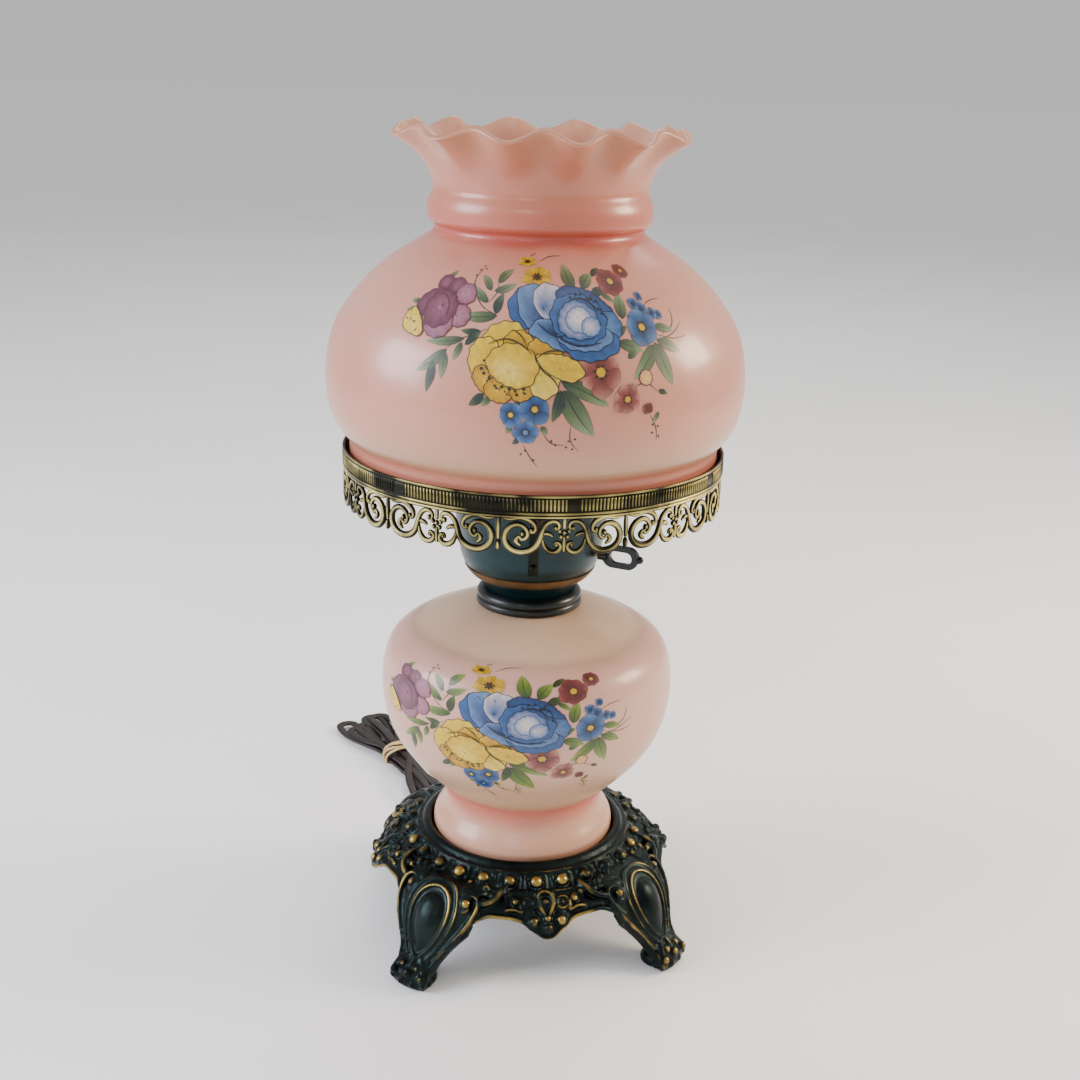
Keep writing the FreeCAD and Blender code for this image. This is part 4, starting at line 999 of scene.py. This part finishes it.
def medallion(soup, azimuth):
    face = Relief(soup, SKIRT_LINE, azimuth)
    face.ridge(symmetric([(0, 1.4), (-3.6, 3.6), (-4.4, 8.0), (-2.4, 13.0), (0, 16.0)]), 1.2, 1.2)
    face.bead(0, 7.6, 2.9, -1.0)
    face.bead(0, 17.0, 2.0, 1.4)
    face.bead(0, 21.8, 3.1, 0.8)
    face.loop(0, 21.8, 4.4, 0.8, 0.4)
    for side in (-1, 1):
        face.loop(side * 9.4, 8.6, 3.3, 1.05, 0.9)
        face.bead(side * 9.4, 8.6, 1.5, 0.4)
        face.bead(side * 7.6, 18.2, 2.9, 0.8)
        face.loop(side * 7.6, 18.2, 4.2, 0.8, 0.4)
        start = (side * 13.0, 13.5)
        face.ridge([start, (side * 14.0, 8.0), (side * 18.0, 5.0), (side * 22.0, 6.5)], 1.3, 0.9, 0.3)
        face.ridge([start, (side * 17.5, 12.0), (side * 22.0, 12.5)], 1.2, 0.8, 0.3)
        face.bead(side * 20.4, 4.6, 2.2, 1.0)
        face.bead(side * 16.4, 7.8, 1.9, 1.2)


def bead_row(soup):
    """Beads in their cells round the ring."""
    turn = np.linspace(0, TAU, 17)
    for k in range(BEADS):
        azimuth = math.radians(BEAD_FIRST + k * 360.0 / BEADS)
        soup.ball(beside(azimuth, 0.0, BEAD_CIRCLE_R, BEAD_Z), BEAD_R, (1, 1, 0.95))
        squared = 1.0 - 0.13 * np.cos(4 * turn)
        deep, aside = BEAD_CIRCLE_R + 4.3 * squared * np.cos(turn), 5.9 * squared * np.sin(turn)
        soup.tube(beside(azimuth, aside, deep, 52.5 + 0.78 * (BEAD_CIRCLE_R - deep)), 0.95, sides=7)
    around = np.linspace(0, TAU, 241)
    for radius, height in ((60.9, 56.6), (70.3, 49.8)):
        soup.tube(spun(radius, around, np.full(len(around), height)), 1.15, sides=8)


def rows_of(items, key, width, kind=np.float32):
    """One property of all of a mesh's vertices or edges."""
    values = np.zeros(width * len(items), kind)
    items.foreach_get(key, values)
    return values.reshape(-1, width)


def places_of(mesh):
    return rows_of(mesh.vertices, "co", 3).astype(float)


def ends_of(mesh):
    return rows_of(mesh.edges, "vertices", 2, np.int32)


def remeshed(piece, voxel):
    """Melt overlapping closed shapes into one skin, as a casting is, and soften it."""
    cast = piece.modifiers.new("cast", "REMESH")
    cast.mode, cast.voxel_size = "VOXEL", voxel
    skin = evaluated(piece)
    piece.modifiers.clear()
    piece.data = skin
    places = places_of(skin)
    places += 0.5 * (neighbour_mean(places, ends_of(skin)) - places)
    skin.vertices.foreach_set("co", places.astype(np.float32).ravel())
    skin.polygons.foreach_set("use_smooth", [True] * len(skin.polygons))
    skin.update()
    return piece


def neighbour_mean(values, ends):
    """Average of each vertex's neighbours."""
    count = np.bincount(ends.ravel(), minlength=len(values)).astype(float)
    columns = [np.bincount(ends[:, 0], values[ends[:, 1], k], len(values))
               + np.bincount(ends[:, 1], values[ends[:, 0], k], len(values)) for k in range(values.shape[1])]
    return np.stack(columns, axis=1) / np.maximum(count, 1)[:, None]


def stored(piece, value):
    piece.data.attributes.new("rub_and_painted_light", "FLOAT", "POINT").data.foreach_set("value", value.astype(np.float32))
    return piece


def wear(piece, full):
    """Store how far each vertex stands out from its surroundings, where hands and dusters rub, cut back by
    painted shade at the ring's inner rim and towards the floor.
    """
    places, ends = places_of(piece.data), ends_of(piece.data)
    normal = rows_of(piece.data.vertices, "normal", 3).astype(float)
    span = np.linalg.norm(places[ends[:, 0]] - places[ends[:, 1]], axis=1).mean()
    crest = ((places - neighbour_mean(places, ends)) * normal).sum(axis=1, keepdims=True) / span
    for _ in range(2):
        crest = 0.5 * crest + 0.5 * neighbour_mean(crest, ends)
    soft = places
    for _ in range(26):
        soft = neighbour_mean(soft, ends)
    swelling = ((places - soft) * normal).sum(axis=1) / (1.2 * MM)
    # Painted shade: the rub is cut back at the ring's inner rim, under the glass foot, so it stays dark; it
    # also fades towards the floor.
    painted_shade_dimming = np.clip(np.linalg.norm(places[:, :2], axis=1) / MM - 60.5, 0.25, 1)
    painted_shade_dimming *= np.clip(places[:, 2] / MM / 26 + 0.3, 0.3, 1)
    return stored(piece, painted_shade_dimming * (0.32 * np.clip(crest[:, 0] / full, 0, 1) + 0.75 * np.clip(swelling, 0, 1)))


def outward(piece, start):
    """Store rub values on whatever faces straight away from or towards the lamp's axis: partly real wear,
    partly a painted highlight along the scrolls' faces.
    """
    places = places_of(piece.data)
    normal = rows_of(piece.data.vertices, "normal", 3)
    facing = np.abs((normal[:, :2] * places[:, :2]).sum(axis=1))
    facing /= np.linalg.norm(places[:, :2], axis=1)
    return stored(piece, 0.8 * np.clip((facing - start) / (1 - start), 0, 1))


def make_base():
    soup = Soup()
    soup.lathe(BASE_RING, 240)
    bead_row(soup)
    skirt(soup)
    for side in range(4):
        medallion(soup, 90.0 * side)
        leg(soup, 90.0 * side + 45.0)
    for block in soup.points:
        block[:, 2] = np.maximum(block[:, 2], 0.1)
    casting = remeshed(soup.build("base_casting"), VOXEL)
    place(wear(casting, 0.16), "lamp", "patina_iron", PATINA, "cast_base")


# ---------------------------------------------------------------- shade holder
BAND = [(93.5, 275.0), (93.5, 276.8), (101.4, 276.8), (101.4, 284.6), (101.7, 285.2), (102.2, 285.5),
        (102.7, 285.3), (102.9, 284.8), (102.7, 284.2), (102.3, 283.9), (102.1, 283.6), (102.3, 283.2),
        (102.3, 280.5), (102.3, 277.6), (102.1, 277.3), (102.4, 276.9), (102.8, 276.6), (102.9, 276.1),
        (102.7, 275.6), (102.2, 275.2)]
REEDS, PLAIN_BLOCKS = 340, 7
SCROLL_R, SCROLL_Z = 101.4, 265.6
REPEATS, FIRST_DROP = 10, math.radians(-19.4)


def reeded(radius, height, turn):
    """Vertical reeds between the rims, broken by small plain blocks."""
    inside = (height > 277.5) & (height < 283.3) & (radius > 102.2)
    wave = 0.9 * np.abs(np.cos(0.5 * REEDS * turn)) - 0.3
    block = np.cos(PLAIN_BLOCKS * (turn - math.radians(1.0))) > 0.975
    return radius + np.where(inside, np.where(block, 0.12, wave), 0.0), height


def filigree_piece(soup, centre, side, points, low, high):
    """One tapered scroll of the pierced skirt; side mirrors it about the drop."""
    path = smooth(points, 6 * len(points))
    turn = centre + side * path[:, 0] / SCROLL_R
    share = np.sin(np.linspace(0.0, math.pi, len(path)))
    places, out = spun(SCROLL_R, turn, SCROLL_Z + path[:, 1]), spun(1.0, turn, np.zeros(len(turn)))
    soup.tube(places, low + (high - low) * share, sides=8, flat=0.72, out=out)


def filigree_bead(soup, centre, u, v, radius, tall=1.0):
    middle = beside(centre + u / SCROLL_R, 0.0, SCROLL_R, SCROLL_Z + v)
    soup.ball(middle, radius, (0.85, 0.85, tall), 6, 10)


def make_holder():
    band = Soup()
    band.lathe(BAND, 4 * REEDS, reeded)
    band = band.build("reeded_band")
    proud = np.linalg.norm(places_of(band.data)[:, :2], axis=1) / MM - 102.35
    place(stored(band, 0.44 * np.clip(proud / 0.45, 0, 1)), "lamp", "antique_brass", GILT, "gallery_band")

    half = math.pi / REPEATS * SCROLL_R
    scrolls = [  # points right of and up from the drop's middle, and the radius at the ends and in the middle
        ([(10.2, -0.6), (11.4, -2.6), (13.8, -1.2), (13.6, 2.4), (10.6, 4.8), (6.6, 4.2), (3.7, 1.0),
          (3.3, -3.2), (5.6, -6.9), (10.4, -8.8), (15.6, -7.8), (19.2, -4.4), (20.8, 0.2), (22.6, 4.6),
          (26.0, 6.8), (29.2, 5.4), (28.8, 3.0), (26.8, 3.4)], 0.9, 1.9),
        ([(1.4, 8.2), (5.6, 7.4), (10.0, 8.4), (14.6, 7.4), (17.6, 4.6), (17.4, 1.6), (15.7, 1.2),
          (15.4, 3.0)], 0.8, 1.5),
        ([(21.2, -1.2), (22.2, -5.4), (25.4, -8.6), (29.4, -7.6), (30.0, -4.8), (27.9, -4.0), (27.3, -5.8)],
         0.8, 1.55),
        ([(10.2, -0.6), (8.6, -3.2), (11.0, -5.6)], 0.7, 1.4),
        ([(20.8, 0.2), (24.0, 0.6), (26.4, -0.8)], 0.7, 1.3)]
    lace = Soup()
    lace.lathe([(100.7, 273.6), (100.7, 275.2), (102.2, 275.2), (102.5, 274.4), (102.2, 273.6)], 240)
    for k in range(REPEATS):
        drop = FIRST_DROP + k * TAU / REPEATS
        for side in (-1, 1):
            for points, low, high in scrolls:
                filigree_piece(lace, drop, side, points, low, high)
            for u, v, radius in ((11.6, 0.4, 1.6), (27.6, 3.4, 1.5), (15.9, 2.2, 1.3), (28.2, -5.0, 1.4)):
                filigree_bead(lace, drop, side * u, v, radius)
        filigree_piece(lace, drop, 1, [(0, 8.6), (0, 2.0), (0, -3.0)], 1.0, 1.4)
        filigree_bead(lace, drop, 0.0, -6.0, 1.7, 1.7)
        filigree_piece(lace, drop, 1, [(half, 8.6), (half, 5.6), (half, 3.0)], 1.0, 1.2)
        filigree_piece(lace, drop, 1, [(half, -1.0), (half, -4.5), (half, -8.6)], 0.9, 1.4)
        for u, v, radius in ((0, 1.2, 1.5), (-2.3, 2.0, 1.4), (2.3, 2.0, 1.4), (-1.6, -0.9, 1.4),
                             (1.6, -0.9, 1.4)):
            filigree_bead(lace, drop, half + u, v, radius)
    # The filigree's gold on faces turned out from the axis or in towards it is partly wear and partly painted
    # highlight.
    place(outward(lace.build("scroll_filigree"), 0.72), "lamp", "antique_brass", GILT, "gallery_filigree")


studio()
make_cord()
make_shade()
make_font()
make_flowers()
make_base()
make_holder()
NODE_FINISHES = {
    PATINA: ["cast_base"],
    GILT: ["holder_arm_1", "holder_arm_2", "holder_arm_3", "arm_rivets", "arm_screws", "gallery_band",
           "gallery_filigree"],
    BLACK_LACQUER: ["burner_flange", "turn_key"],
    TEAL_LACQUER: ["burner_bowl"],
    BRONZE: ["bowl_band"],
    STEEL: ["base_plate", "lock_washer", "base_nut", "lamp_pipe", "bowl_nut", "bulb_filament"],
    BRASS: ["font_collar", "socket_cap", "socket_shell", "screw_shell", "centre_contact", "terminal_screws",
            "key_shaft", "bulb_contact", "plug_blades"],
    ALUMINIUM: ["bulb_cap"],
    PHENOLIC: ["pipe_bushing", "socket_body", "switch_rotor"],
    CARD: ["socket_sleeve"],
    FELT: ["base_gasket"],
    OPAL: ["bulb_glass"],
    CORD_VINYL: ["inner_lead", "plug_body", "cord_lead", "cord_hank", "cord_tail"],
    TIE_RUBBER: ["hank_tie"],
    SHADE_GLASS: ["shade_glass"],
    FONT_GLASS: ["glass_font"],
}
for finish, names in NODE_FINISHES.items():
    for name in names:
        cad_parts[name].data.materials.clear()
        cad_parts[name].data.materials.append(finish)
